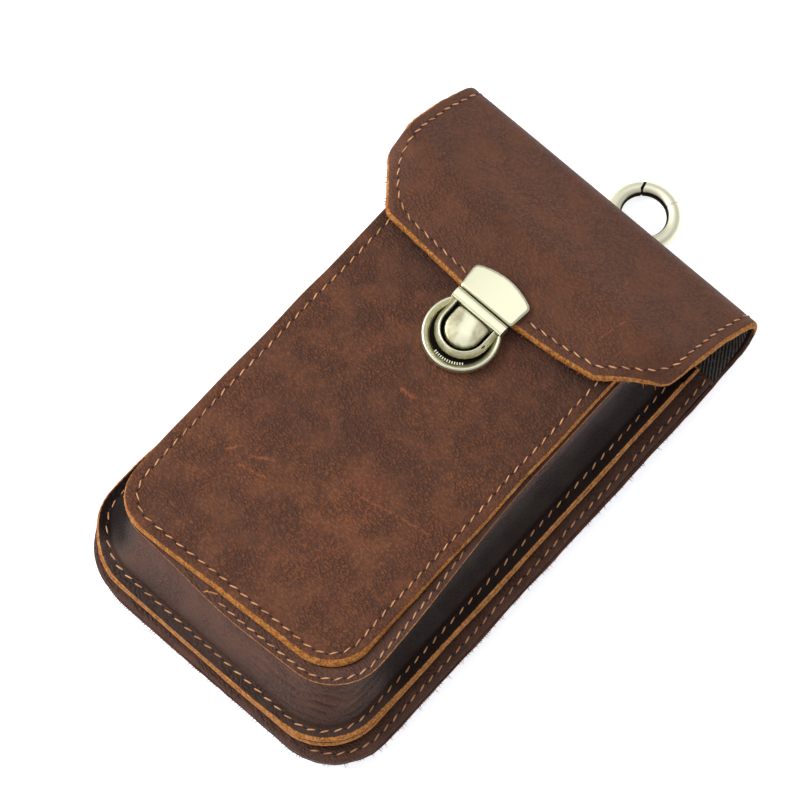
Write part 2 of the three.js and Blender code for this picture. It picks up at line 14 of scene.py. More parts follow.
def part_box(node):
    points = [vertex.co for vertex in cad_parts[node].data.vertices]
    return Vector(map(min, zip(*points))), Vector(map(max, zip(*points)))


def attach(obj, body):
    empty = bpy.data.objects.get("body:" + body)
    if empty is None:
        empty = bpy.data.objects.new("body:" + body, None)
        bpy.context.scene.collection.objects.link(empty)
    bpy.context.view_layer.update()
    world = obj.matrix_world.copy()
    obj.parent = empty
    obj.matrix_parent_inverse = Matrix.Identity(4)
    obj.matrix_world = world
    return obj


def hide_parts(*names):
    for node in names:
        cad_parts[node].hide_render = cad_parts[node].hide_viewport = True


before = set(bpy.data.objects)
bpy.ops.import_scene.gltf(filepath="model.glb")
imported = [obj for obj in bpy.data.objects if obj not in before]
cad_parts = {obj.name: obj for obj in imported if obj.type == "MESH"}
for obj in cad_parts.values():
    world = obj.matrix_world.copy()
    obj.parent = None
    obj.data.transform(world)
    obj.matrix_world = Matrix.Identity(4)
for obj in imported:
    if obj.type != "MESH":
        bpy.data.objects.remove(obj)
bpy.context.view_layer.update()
print("frame pieces:", ", ".join(sorted(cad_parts)))

# %% [markdown]
# ## One corner to measure from
# A pattern is easiest to read in millimetres from the bag itself: x from the middle of the belt
# loop, y from the bottom of the back, z from the underside of the back. Meshes are built in those
# millimetres and moved to the shared frame once, when a piece is finished.

# %% The bag's own corner
MM = 0.001
loop_low, loop_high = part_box("belt_loop")
hide_low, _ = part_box("back_flap")
BAG_CORNER = Vector(((loop_low.x + loop_high.x) / 2, hide_low.y, hide_low.z))


def level(node, end):
    """Height of a frame piece's underside (0) or top (1) above the bag's underside, in mm."""
    return (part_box(node)[end].z - BAG_CORNER.z) / MM


print("the back lies", round(BAG_CORNER.z / MM, 2), "mm above the floor")

# %% [markdown]
# ## Shader sums
# A finish is a sum of clouds, scratches and grain. Written with node calls alone, such a sum is
# hard to read, so one small class wraps a socket and lets Python's own operators add the Math
# nodes. Every other node comes from its `node` method.


# %% Shader sockets that can be added and multiplied
class Signal:
    """A shader socket that takes part in Python sums."""

    def __init__(self, tree, socket=None):
        self.tree = tree
        self.socket = socket

    def node(self, kind, settings=None, sockets=None, out=0):
        made = self.tree.nodes.new(kind)
        for name, value in (settings or {}).items():
            setattr(made, name, value)
        for key, value in (sockets or {}).items():
            if isinstance(value, Signal):
                self.tree.links.new(value.socket, made.inputs[key])
            else:
                made.inputs[key].default_value = value
        return Signal(self.tree, made.outputs[out])

    def math(self, operation, a, b=0.0):
        return self.node("ShaderNodeMath", {"operation": operation}, {0: a, 1: b})

    def vector(self, operation, sockets, out=0):
        return self.node("ShaderNodeVectorMath", {"operation": operation}, sockets, out)

    def __add__(self, other):
        return self.math("ADD", self, other)

    def __radd__(self, other):
        return self.math("ADD", other, self)

    def __sub__(self, other):
        return self.math("SUBTRACT", self, other)

    def __rsub__(self, other):
        return self.math("SUBTRACT", other, self)

    def __mul__(self, other):
        return self.math("MULTIPLY", self, other)

    def step(self, low, high):
        """0 below low, 1 above high and smooth between them."""
        settings = {"interpolation_type": "SMOOTHSTEP"}
        return self.node("ShaderNodeMapRange", settings, {0: self, 1: low, 2: high})

    def mix(self, first, second):
        """A colour that goes from first to second as this value goes from 0 to 1."""
        settings = {"data_type": "RGBA"}
        return self.node("ShaderNodeMix", settings, {0: self, 6: first, 7: second}, out=2)


def start_finish(name):
    """A new material, its shader and a signal to build on."""
    material = bpy.data.materials.new(name)
    material.use_nodes = True
    tree = material.node_tree
    return material, tree.nodes["Principled BSDF"], Signal(tree)


def feed(shader, socket, signal):
    signal.tree.links.new(signal.socket, shader.inputs[socket])


def feed_bump(shader, height, strength, depth):
    """Lets a signal raise the surface by up to depth millimetres."""
    sockets = {"Strength": strength, "Distance": depth * MM, "Height": height}
    feed(shader, "Normal", height.node("ShaderNodeBump", None, sockets))


print("shader sums are ready")

# %% [markdown]
# ## The hide
# The leather is a dark, oiled pull-up hide. Where it is bent or rubbed the oil moves away and a
# warm, lighter brown comes through, so its colour is a set of soft clouds rather than a print.
# Fine grain lines, a few scratches and a dull sheen finish it. The cut edge is raw: orange fibre
# with no finish. Two numbers that the meshes carry steer this: `raw` is 1 at a cut edge, and the
# other darkens a spot with painted shade where it lies deep in a seam, under another layer or turned
# from the light, and with the stain of a stained cut.

# %% Colours of the hide
DEEP_BROWN = (0.050, 0.0180, 0.0110, 1)
HIDE_BROWN = (0.150, 0.0490, 0.0190, 1)
RUBBED_BROWN = (0.265, 0.0850, 0.0220, 1)
RUBBED_RED = (0.245, 0.0640, 0.0215, 1)
SCUFF_ORANGE = (0.370, 0.1020, 0.0370, 1)
RAW_ORANGE = (0.680, 0.270, 0.0560, 1)
RAW_PALE = (0.740, 0.410, 0.1500, 1)
RAW_RUST = (0.230, 0.068, 0.0140, 1)
# Painted shade: the near black that seams, recesses and shaded walls are painted with, also the dark of a
# stained cut
SHADE_AND_STAIN_BLACK = (0.008, 0.0042, 0.0032, 1)


def in_millimetres(base):
    """The piece's own coordinates, measured in millimetres."""
    place = base.node("ShaderNodeTexCoord", out="Object")
    return base.vector("SCALE", {0: place, 3: 1 / MM})


def cloud(base, place, size, detail=3.0, roughness=0.55, warp=0.0):
    """Soft noise whose lumps are about size millimetres across."""
    sockets = {"Vector": place, "Scale": 1 / size, "Detail": detail, "Roughness": roughness}
    return base.node("ShaderNodeTexNoise", None, {**sockets, "Distortion": warp})


def cloud_vector(base, place, size, reach):
    """A soft sideways push of up to half of reach millimetres."""
    sockets = {"Vector": place, "Scale": 1 / size, "Detail": 2.0}
    push = base.node("ShaderNodeTexNoise", None, sockets, out=1)
    centred = base.vector("SUBTRACT", {0: push, 1: (0.5, 0.5, 0.5)})
    return base.vector("SCALE", {0: centred, 3: reach})


def stretched(base, place, angle, scale):
    """The same coordinates turned about Z and squeezed, for marks that run one way."""
    sockets = {"Vector": place, "Rotation": (0, 0, math.radians(angle)), "Scale": scale}
    return base.node("ShaderNodeMapping", None, sockets)


def carried(base, name):
    return base.node("ShaderNodeAttribute", {"attribute_name": name}, out=2)


print("hide colours:", HIDE_BROWN[:3], "to", RUBBED_BROWN[:3])

# %% Scuffs
# Where the photo shows a scratch: its two ends in bag millimetres, and its half width
FRONT_SCUFFS = [
    ((-25.4, 52.5), (-19.4, 56.2), 0.9),
    ((-25.9, 48.8), (-17.3, 50.9), 0.7),
    ((-31.6, 50.0), (-28.8, 53.7), 0.5),
    ((5.9, 64.7), (28.8, 69.6), 0.4),
    ((-37.7, 61.3), (-33.7, 61.2), 0.35),
    ((-5.9, 96.9), (-1.7, 97.4), 1.1),
    ((-33.4, 27.2), (-24.1, 26.8), 0.35),
]
FLAP_SCUFFS = [((27.2, 146.1), (29.0, 154.7), 0.3)]
# The front strip was lengthened here, and the end of its second piece shows as a thin tan line
SPLICE = [((-8.4, 14.6), (-7.9, 15.3), 0.35), ((-7.9, 15.3), (-5.2, 16.6), 0.35)]
SCUFF_CORE = 0.15
FLAT = (1, 1, 0)


def scuff_mark(base, flat, scuff):
    """1 on the line from start to end and 0 a half width away from it, seen from above."""
    start, end, half = scuff
    corner = BAG_CORNER / MM
    reach = Vector((end[0] - start[0], end[1] - start[1], 0))
    start = Vector((start[0] + corner.x, start[1] + corner.y, 0))
    offset = base.vector("SUBTRACT", {0: flat, 1: start})
    part = base.vector("DOT_PRODUCT", {0: offset, 1: reach / reach.length_squared}, out=1)
    part = base.math("MINIMUM", base.math("MAXIMUM", part, 0.0), 1.0)
    foot = base.vector("SCALE", {0: reach, 3: part})
    gap = base.vector("DISTANCE", {0: offset, 1: foot}, out=1)
    return gap.step(half, half * SCUFF_CORE)


# %% Hide finish
WRINKLE = 0.72
PORE = 0.30
PAINTED_SHADE_COVER = 0.88


def hide_finish(name, warmth, gloss, grain, sheen, oil=0.0, scuffs=(), joins=()):
    """Oiled leather: warmth moves it to the rubbed brown, oil darkens it, gloss makes it smoother."""
    material, shader, base = start_finish(name)
    place = in_millimetres(base)
    broad = cloud(base, place, 38, warp=0.5)
    patch = cloud(base, place, 12, detail=5, warp=1.0)
    fleck = cloud(base, place, 1.6, detail=4, roughness=0.7)
    bent = stretched(base, place, -33, (0.62, 1.25, 1.0))
    stirred = base.vector("ADD", {0: bent, 1: cloud_vector(base, place, 2.0, 1.0)})
    sockets = {"Vector": stirred, "Scale": 1 / WRINKLE, "Randomness": 1.0}
    pebble = 1 - base.node("ShaderNodeTexVoronoi", None, sockets).step(0.15, 0.75)
    pores = cloud(base, place, PORE, detail=3, roughness=0.65)

    rubbed_and_lit = (broad * 0.8 + patch * 0.38 + fleck * 0.45 + pebble * 0.14 + (warmth - 0.76)).step(0.0, 0.64)
    dark = (patch * 0.36 + fleck * 0.45 + broad * 0.35).step(0.64, 0.40)
    ruddy = cloud(base, place, 21, detail=4, warp=0.8).step(0.42, 0.62)
    colour = rubbed_and_lit.mix(HIDE_BROWN, (ruddy * 0.8).mix(RUBBED_BROWN, RUBBED_RED))
    soaked = patch.step(0.36, 0.62) * (0.5 * oil) + fleck.step(0.40, 0.62) * (0.3 * oil)
    colour = (dark * (0.5 - 0.3 * oil) + soaked + 0.6 * oil).mix(colour, DEEP_BROWN)
    worked = cloud(base, place, 9, detail=2).step(0.34, 0.62)
    lines = (1 - pebble) * (worked * 0.35 + 0.32) * grain
    colour = (lines + pores.step(0.48, 0.30) * 0.22).mix(colour, DEEP_BROWN)

    hair_line = cloud(base, stretched(base, place, 24, (0.05, 1.6, 0.5)), 1, detail=2)
    hair = hair_line.step(0.69, 0.76) * cloud(base, place, 15).step(0.55, 0.66) * 0.6
    if scuffs:
        loose = base.vector("ADD", {0: place, 1: cloud_vector(base, place, 3.0, 1.2)})
        flat = base.vector("MULTIPLY", {0: loose, 1: FLAT})
        worn_and_shaded = fleck.step(0.36, 0.60)
        for scuff in scuffs:
            hair = base.math("MAXIMUM", hair, scuff_mark(base, flat, scuff) * worn_and_shaded)
    colour = (hair * 0.65).mix(colour, SCUFF_ORANGE)
    for join in joins:
        flat = base.vector("MULTIPLY", {0: place, 1: FLAT})
        colour = (scuff_mark(base, flat, join) * 0.8).mix(colour, RAW_ORANGE)
    # Painted shade: spots deep in a seam, under another layer or turned from the light are darkened
    # towards near black
    sunk = carried(base, "shade_and_stain")
    colour = sunk.mix(colour, SHADE_AND_STAIN_BLACK)

    fibre = cloud(base, place, 0.5, detail=4, roughness=0.8)
    ragged = cloud(base, place, 1.1, detail=4, roughness=0.7)
    raw = (carried(base, "raw") + (ragged - 0.5) * 0.7).step(0.36, 0.62)
    raw_colour = (fibre * 0.7 + ragged * 0.4).step(0.43, 0.68).mix(RAW_RUST, RAW_ORANGE)
    raw_colour = (cloud(base, place, 2.4, detail=3).step(0.52, 0.72) * 0.4).mix(raw_colour, RAW_PALE)
    feed(shader, "Base Color", raw.mix(colour, raw_colour))

    rough = 0.62 - gloss + (1 - rubbed_and_lit) * 0.08 + fleck * 0.10
    feed(shader, "Roughness", rough + raw * 0.3)
    creases = cloud(base, bent, 2.2, detail=4, warp=0.6)
    height = pebble * (worked * 0.8 + 0.2) + pores * 0.35 + creases * 1.1 + raw * fibre * 1.8
    feed_bump(shader, height, strength=grain, depth=0.24)
    shader.inputs["Specular IOR Level"].default_value = sheen
    leather = Signal(base.tree, shader.outputs[0])
    # Painted shade: in the deepest shade the leather gives way to a flat near-black surface with no sheen
    painted_shade = base.node("ShaderNodeBsdfDiffuse", None, {"Color": SHADE_AND_STAIN_BLACK})
    shade_cover = sunk.step(0.40, 1.0) * (1 - raw) * PAINTED_SHADE_COVER
    whole = base.node("ShaderNodeMixShader", None, {0: shade_cover, 1: leather, 2: painted_shade})
    feed(base.tree.nodes["Material Output"], "Surface", whole)
    return material


HIDE_FRONT = hide_finish(
    "hide_front", warmth=0.06, gloss=0.06, grain=1.0, sheen=0.32, scuffs=FRONT_SCUFFS,
)
HIDE_FLAP = hide_finish(
    "hide_flap", warmth=-0.14, gloss=0.08, grain=0.88, sheen=0.36, scuffs=FLAP_SCUFFS,
)
HIDE_SIDE = hide_finish(
    "hide_side", warmth=-0.08, gloss=0.20, grain=1.0, sheen=0.42, oil=0.36, joins=SPLICE,
)
print("hide finishes:", HIDE_FRONT.name, HIDE_FLAP.name, HIDE_SIDE.name)

# %% [markdown]
# ## Cutting a pattern
# A hide piece starts as a flat outline. Its round corners are vertex bevels, rings along the edge
# come from insets, so that an edge or a stitch line has its own row of points, and straight cuts
# through the whole pattern give it cells to bend with. A grid could be bent too, but its rows would
# not follow a round corner. Each point then learns how far it lies from the cut edge.


# %% Pattern cutting
def layer(bm, name):
    """The number of that name that every point of a mesh carries."""
    return bm.verts.layers.float[name]


def draw_outline(corners, rounds):
    """A flat face with its corners rounded by the given lengths."""
    bm = bmesh.new()
    for name in ("edge", "raw", "shade_and_stain"):
        bm.verts.layers.float.new(name)
    points = [bm.verts.new((x, y, 0)) for x, y in corners]
    bm.faces.new(points)
    for length in sorted(set(rounds) - {0}):
        chosen = [point for point, round_off in zip(points, rounds) if round_off == length]
        segments = max(3, round(length * 0.8))
        bmesh.ops.bevel(
            bm, geom=chosen, offset=length, offset_type="OFFSET", segments=segments,
            profile=0.5, affect="VERTICES", material=-1,
        )
    return bm


def inset_line(corners, rounds, inset):
    """The line that runs inside an outline at an even distance, as flat points in order."""
    bm = draw_outline(corners, rounds)
    face = bm.faces[:][0]
    bmesh.ops.inset_region(bm, faces=[face], thickness=inset, use_boundary=True, use_even_offset=True)
    line = [Vector((v.co.x, v.co.y)) for v in face.verts]
    bm.free()
    return line


def slice_pattern(bm, axis, places):
    """Straight cuts through the whole pattern, across x (0) or y (1)."""
    across = Vector((1 - axis, axis, 0))
    for place in places:
        everything = bm.faces[:] + bm.edges[:] + bm.verts[:]
        bmesh.ops.bisect_plane(
            bm, geom=everything, dist=0.02, plane_co=across * place, plane_no=across,
        )


def measure_edges(bm):
    """Each point learns its distance from the nearest cut edge."""
    edge = layer(bm, "edge")
    border = [v for v in bm.verts if v.is_boundary]
    tree = kdtree.KDTree(len(border))
    for index, v in enumerate(border):
        tree.insert(v.co, index)
    tree.balance()
    for v in bm.verts:
        nearest = border[tree.find(v.co)[1]]
        spans = [e for e in nearest.link_edges if e.is_boundary]
        v[edge] = min(gap_to_span(v.co, span) for span in spans)


def gap_to_span(point, span):
    start, end = (v.co for v in span.verts)
    _, part = geometry.intersect_point_line(point, start, end)
    return (point - start.lerp(end, min(max(part, 0), 1))).length


EDGE_RINGS = (0.3, 0.35, 0.45, 0.5, 0.6, 0.7, 0.7, 0.7, 0.7, 0.9, 1.1)


def cut_pattern(corners, rounds, x_cuts, y_cuts, rings=EDGE_RINGS):
    """An outline with rings of points along its edge and straight cuts across it."""
    bm = draw_outline(corners, rounds)
    face = bm.faces[:][0]
    for step in rings:
        bmesh.ops.inset_region(
            bm, faces=[face], thickness=step, use_boundary=True, use_even_offset=True,
        )
    slice_pattern(bm, 0, x_cuts)
    slice_pattern(bm, 1, y_cuts)
    measure_edges(bm)
    return bm


def even_cuts(low, high, step):
    count = max(1, round((high - low) / step))
    return [low + (high - low) * (k + 0.5) / count for k in range(count)]


def four_corners(sizes):
    """Corners of a panel, anticlockwise from its lower left, and how far each is rounded."""
    left, right, bottom, top = (sizes[key] for key in ("left", "right", "bottom", "top"))
    corners = [(left, bottom), (right, bottom), (right, top), (left, top)]
    return corners, [sizes["round"], sizes["round"], 0, 0]


def panel_pattern(sizes, x_step, y_step):
    x_cuts = even_cuts(sizes["left"], sizes["right"], x_step)
    y_cuts = even_cuts(sizes["bottom"], sizes["top"], y_step)
    return cut_pattern(*four_corners(sizes), x_cuts, y_cuts)


print("edge rings reach", round(sum(EDGE_RINGS), 2), "mm in from the cut")

# %% [markdown]
# ## Laying and thickening
# `lay_pattern` moves every flat point to its place in the bag. `thicken` gives the wall with the
# solidify operator, away from the grain side, and then works on the cut: the grain side is rubbed
# down into a shoulder, the cut face gets extra rows, and a little noise makes it ragged. A bevel
# would give a machine's edge, and this one is cut by hand.


# %% Laying, thickening and finishing a piece
def smooth_step(low, high, value):
    t = min(max((value - low) / (high - low), 0), 1)
    return t * t * (3 - 2 * t)


def ripple(x, y, size, seed=0.0):
    """Smooth noise between -1 and 1 whose waves are about size millimetres long."""
    return noise.noise(Vector((x / size, y / size, seed)))


def lay_pattern(bm, lay, turned=False):
    for v in bm.verts:
        v.co = lay(v.co.x, v.co.y)
    if turned:
        bmesh.ops.reverse_faces(bm, faces=bm.faces[:])
    bm.normal_update()


AT_CUT = 1e-4
GROOVE_HALF = 0.75


def thicken(bm, thickness, shoulder, drop, grooves=(), ragged=0.12, bare=None):
    """Gives a laid pattern its wall, a rubbed shoulder along its cut, and grooves under its seams.

    Where bare is less than 1, the cut is stained and its raw fibre hardly shows.
    """
    edge, raw, shade_and_stain = (layer(bm, name) for name in ("edge", "raw", "shade_and_stain"))
    grain_side = [(v, v.normal.copy()) for v in bm.verts]
    bmesh.ops.solidify(bm, geom=bm.faces[:], thickness=thickness)
    for v, normal in grain_side:
        width = shoulder(v.co) if callable(shoulder) else shoulder
        near = max(0.0, 1 - v[edge] / width)
        sunk = 0
        for row, depth in grooves:
            sunk += depth * math.exp(-(((v[edge] - row) / GROOVE_HALF) ** 2))
        v[raw] = min(1.0, 1.7 * near)
        # Painted shade: the groove under a seam is darkened
        v[shade_and_stain] = max(v[shade_and_stain], 0.6 * min(1.0, sunk))
        v.co -= normal * (drop * near**2 + sunk)
    rim = {f for f in bm.faces if all(v[edge] < AT_CUT for v in f.verts)}
    for f in rim:
        for v in f.verts:
            v[raw] = 1
    if bare:
        for v in bm.verts:
            kept = bare(v.co)
            v[shade_and_stain] = max(v[shade_and_stain], 0.45 * v[raw] * (1 - kept))
            v[raw] *= kept
    across = [e for e in bm.edges if len(e.link_faces) == 2 and all(f in rim for f in e.link_faces)]
    bmesh.ops.subdivide_edges(bm, edges=across, cuts=2, use_grid_fill=True)
    bm.normal_update()
    for v in bm.verts:
        if v[edge] < AT_CUT:
            v.co += v.normal * ragged * (noise.noise(v.co * 0.45) + 0.6 * noise.noise(v.co * 1.3))


SHARP_ANGLE = math.radians(50)


def finish_piece(bm, name, finishes, replaced=(), body="bag"):
    """Moves a mesh to the shared frame, makes its object and says what it is and what it rides on."""
    for f in bm.faces:
        f.smooth = True
    for e in bm.edges:
        e.smooth = len(e.link_faces) != 2 or e.calc_face_angle() < SHARP_ANGLE
    bmesh.ops.scale(bm, verts=bm.verts[:], vec=(MM, MM, MM))
    bmesh.ops.translate(bm, verts=bm.verts[:], vec=BAG_CORNER)
    mesh = bpy.data.meshes.new(name)
    bm.to_mesh(mesh)
    bm.free()
    for finish in finishes:
        mesh.materials.append(finish)
    piece = bpy.data.objects.new(name, mesh)
    bpy.context.scene.collection.objects.link(piece)
    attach(piece, body)
    if replaced:
        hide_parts(*replaced)
    print(f"{name}: {len(mesh.vertices)} points, {len(mesh.polygons)} faces")
    return piece


# %% [markdown]
# ## The front panel
# The outer face is one thick piece with two round lower corners. It was sewn on slightly askew, so
# its bottom edge slants, and it swells a little over the pocket. Its lower edge is skived wide, which
# is why the orange band is broadest there.

# %% Front panel sizes
FRONT = {"left": -47.2, "right": 38.6, "bottom": 17.0, "top": 150.0, "round": 14.0}
FRONT_SLANT = {"rate": 0.055, "fade": 60.0}
FRONT_THICK = 2.0
FRONT_TOP = level("front_panel", 0) + FRONT_THICK
FRONT_CROWN = 0.95
FRONT_ROW = 3.8
# The lowest part of the flap's foot, which lies on the front
FLAP_TIP = {"left": -12.0, "right": 2.0, "y": 131.5}


def slant(x, y):
    """How far the askew front lifts a point of its bottom edge."""
    fade = min(max(1 - (y - FRONT["bottom"]) / FRONT_SLANT["fade"], 0), 1)
    return FRONT_SLANT["rate"] * (x - (FRONT["left"] + FRONT["right"]) / 2) * fade


def lay_front(x, y):
    u = (2 * x - FRONT["left"] - FRONT["right"]) / (FRONT["right"] - FRONT["left"])
    v = (2 * y - FRONT["bottom"] - FRONT["top"]) / (FRONT["top"] - FRONT["bottom"])
    swell = FRONT_CROWN * (1 - min(1, abs(u)) ** 4) * (1 - min(1, abs(v)) ** 4)
    free = smooth_step(105, 85, y)
    lift = 0.25 * free * (ripple(x, y, 26) + 0.4 * ripple(x, y, 9, 3.0))
    sway = 0.35 * ripple(y, 0, 18, 5.0) - 0.7 * smooth_step(125, 55, y) * smooth_step(0, FRONT["left"], x)
    return Vector((x + sway, y + slant(x, y) + 0.3 * ripple(x, 0, 15, 8.0), FRONT_TOP + swell + lift))


def front_shoulder(place):
    """The rubbed band is broad along the bottom, narrower up the right and thin at the left."""
    bottom = (0.8 + 0.8 * smooth_step(-34, 24, place.x)) * smooth_step(44, 22, place.y)
    return 0.5 + bottom * smooth_step(-47, -36, place.x) + 0.5 * smooth_step(20, 38, place.x)


def under_flap(x, y):
    """Painted shade from the flap, and the oil from its edge, darken the front just below its foot. The
    front also gets a little darker towards the top and the right.
    """
    foot = FLAP_TIP["y"] + 0.058 * max(0.0, FLAP_TIP["left"] - x) + 0.1 * max(0.0, x - FLAP_TIP["right"])
    shade = 0.45 * smooth_step(10, -1, foot - y)
    return shade + 0.10 * smooth_step(60, 120, y) + 0.08 * smooth_step(0, 40, x)


# %% Front panel
pattern = panel_pattern(FRONT, x_step=2.4, y_step=2.4)
shade_and_stain = layer(pattern, "shade_and_stain")
for v in pattern.verts:
    v[shade_and_stain] = under_flap(v.co.x, v.co.y)
lay_pattern(pattern, lay_front)
thicken(pattern, FRONT_THICK, front_shoulder, drop=1.25, grooves=[(FRONT_ROW, 0.22)])
finish_piece(pattern, "front_face", [HIDE_FRONT], ["front_panel"])

# %% [markdown]
# ## The middle panel
# The wall between the two pockets shows only as a raw edge all round, sandwiched between the
# flanges of the two gussets. Its faces, in the shade between the flanges, are painted near black.

# %% Middle panel
MIDDLE = {"left": -51.6, "right": 51.2, "bottom": 2.4, "top": 165.0, "round": 19.5}
MIDDLE_TOP = level("middle_panel", 1)
# Painted shade: how far the middle panel's faces are darkened towards black
MIDDLE_SHADE = 0.85


def flare(x, y):
    """Near the lower left corner the seam of the wide pocket spreads out a little."""
    return -1.5 * smooth_step(-30, -50, x) * smooth_step(54, 30, y) * smooth_step(5, 18, y)


def lay_middle(x, y):
    sway = 0.4 * ripple(y, 0, 21, 2.0) + flare(x, y)
    return Vector((x + sway, y + 0.35 * ripple(x, 0, 19, 4.0), MIDDLE_TOP))


pattern = panel_pattern(MIDDLE, x_step=4, y_step=3)
lay_pattern(pattern, lay_middle)
shade_and_stain = layer(pattern, "shade_and_stain")
for v in pattern.verts:
    v[shade_and_stain] = MIDDLE_SHADE
thicken(pattern, thickness=1.8, shoulder=0.9, drop=0.5, ragged=0.1)
finish_piece(pattern, "middle_wall", [HIDE_SIDE], ["middle_panel"])

# %% [markdown]
# ## The back and flap
# One long hide makes the back, folds over the top and comes down as the flap. Its pattern is cut
# flat, with round lower corners, the flap's cut corners and a shallow point, and then every point
# walks along the course of the fold: straight up the back, round the fold, down a slope, over a
# soft knee and flat on the front.

# %% The course of the hide
BACK = {"left": -52.2, "right": 56.3, "rounds": [24.0, 21.0], "fold_start": 178.2, "lead": 26.0}
BACK_HALF = 1.0
FOLD = {"radius": 7.5, "slope": math.radians(30), "knee": 20.0}
SEAT = level("lock_base", 0)


def course_from(legs, y, z, heading=0.0):
    """Follows straight and turning legs. Gives place and heading at any distance along them."""

    def at(distance):
        here_y, here_z, here, left = y, z, heading, distance
        for number, (length, turn) in enumerate(legs, 1):
            part = min(left, length) if number < len(legs) else left
            if turn == 0:
                here_y += part * math.cos(here)
                here_z += part * math.sin(here)
            else:
                radius = length / turn
                following = here + part / radius
                here_y += radius * (math.sin(following) - math.sin(here))
                here_z += radius * (math.cos(here) - math.cos(following))
                here = following
            left -= part
            if left <= 0:
                break
        return here_y, here_z, here

    return at


FOLD_TURN = math.pi - FOLD["slope"]
fold_rise = FOLD["radius"] * (1 - math.cos(FOLD_TURN))
knee_rise = FOLD["knee"] * (1 - math.cos(FOLD["slope"]))
LAST_LEG = 60.0
HIDE_LEGS = [
    (BACK["fold_start"], 0),
    (FOLD["radius"] * FOLD_TURN, FOLD_TURN),
    ((SEAT - fold_rise - knee_rise) / math.sin(FOLD["slope"]), 0),
    (FOLD["knee"] * FOLD["slope"], FOLD["slope"]),
    (LAST_LEG, 0),
]
along_hide = course_from(HIDE_LEGS, 0.0, BACK_HALF)
FLAT_START = sum(length for length, _ in HIDE_LEGS[:4])
FLAT_Y = along_hide(FLAT_START)[0]
print("the flap lies flat from y =", round(FLAT_Y, 1), "mm, after", round(FLAT_START, 1), "mm of hide")

# %% The outline of the hide
# The flap's sides, by the way past the start of the fold, and its foot, by height on the bag
FLAP_RIGHT = [(0, 56.1), (12, 55.7), (30, 53.2), (50, 52.3)]
FLAP_FOOT = [
    (50.8, 149.3), (33.6, 135.5), (21.5, 133.4), (FLAP_TIP["right"], FLAP_TIP["y"]),
    (FLAP_TIP["left"], FLAP_TIP["y"]), (-45.2, 133.4), (-59.0, 149.3),
]
FLAP_LEFT = [(42, -59.7), (30, -59.4), (12, -57.0), (0, -55.9)]


def flat_place(y):
    """The distance along the hide of a place on the flat of the flap."""
    return FLAT_START + FLAT_Y - y


back_corners = [(BACK["left"], 0.0), (BACK["right"], 0.0)]
back_corners += [(BACK["right"], BACK["fold_start"] - BACK["lead"])]
back_corners += [(x, BACK["fold_start"] + past) for past, x in FLAP_RIGHT]
back_corners += [(x, flat_place(y)) for x, y in FLAP_FOOT]
back_corners += [(x, BACK["fold_start"] + past) for past, x in FLAP_LEFT]
back_corners += [(BACK["left"], BACK["fold_start"] - BACK["lead"])]
foot_first = 3 + len(FLAP_RIGHT)
foot_last = foot_first + len(FLAP_FOOT) - 1


def hide_rounds(at_corner):
    """How far each corner is rounded: the lower ones fully, the flap's cut corners a little."""
    rounds = BACK["rounds"] + [0] * (len(back_corners) - 2)
    for number in (foot_first, foot_last - 1, foot_last):
        rounds[number] = at_corner
    return rounds


back_rounds = hide_rounds(2.0)

# %% Back and flap
FLAP_ROW = 3.7
DROOP = {"reach": 2.0, "rate": 0.03, "from": 44.0, "full": 57.0}
# The flesh side inside the mouth of the fold is painted with shade
MOUTH = {"from": 150.0, "up_to": 9.0, "off_edge": 0.9, "shade_and_stain": 0.8}


def droop(x, past):
    """Beyond the sides of the front the flap hangs a little."""
    over = max(FRONT["left"] + DROOP["reach"] - x, x - FRONT["right"] + DROOP["reach"], 0)
    return DROOP["rate"] * over**2 * smooth_step(DROOP["from"], DROOP["full"], past)


def lay_hide(x, s, depth=-BACK_HALF):
    """A place on the hide, depth inwards from its middle line. The grain side is the default."""
    y, z, heading = along_hide(s)
    past = s - BACK["fold_start"]
    wave = 0.25 * smooth_step(40, 70, past) * (1 + ripple(x, s, 22, 11.0))
    lean = 0.5 * smooth_step(70, 130, s) * smooth_step(20, 50, x)
    sway = (0.45 * ripple(s, 0, 24, 7.0) + lean) * smooth_step(12, 0, past)
    y += 0.35 * smooth_step(-5, 25, x) * smooth_step(16, 0, s)
    inward = Vector((0, -math.sin(heading), math.cos(heading)))
    return Vector((x + sway, y, z - droop(x, past) + wave)) + inward * depth


def hide_shoulder(place):
    return 1.0 + 0.4 * smooth_step(SEAT - 2, SEAT, place.z)


def flap_bare(place):
    """The flap's cut is bare orange fibre, and the back's was stained dark."""
    return 0.2 + 0.8 * smooth_step(3.0, 8.0, place.z)


def in_the_mouth(place):
    """True on the flesh side of the back where it starts to turn into the fold."""
    past = max(place.y - BACK["fold_start"], 0)
    from_axis = math.hypot(past, place.z - BACK_HALF - FOLD["radius"])
    return place.y > MOUTH["from"] and place.z < MOUTH["up_to"] and from_axis < FOLD["radius"]


bend_low, bend_high = BACK["fold_start"] - 2, FLAT_START + 2
bend_cuts = even_cuts(bend_low, bend_high, 1.0)
flap_cuts = even_cuts(bend_high, flat_place(131), 2.2)
pattern = cut_pattern(
    back_corners, back_rounds,
    even_cuts(BACK["left"], BACK["right"], 3.0), even_cuts(0, bend_low, 3.2) + bend_cuts + flap_cuts,
    rings=EDGE_RINGS[:8],
)
lay_pattern(pattern, lay_hide, turned=True)
thicken(
    pattern, 2 * BACK_HALF, hide_shoulder, drop=1.0,
    grooves=[(FLAP_ROW, 0.16)], ragged=0.18, bare=flap_bare,
)
shade_and_stain, edge = layer(pattern, "shade_and_stain"), layer(pattern, "edge")
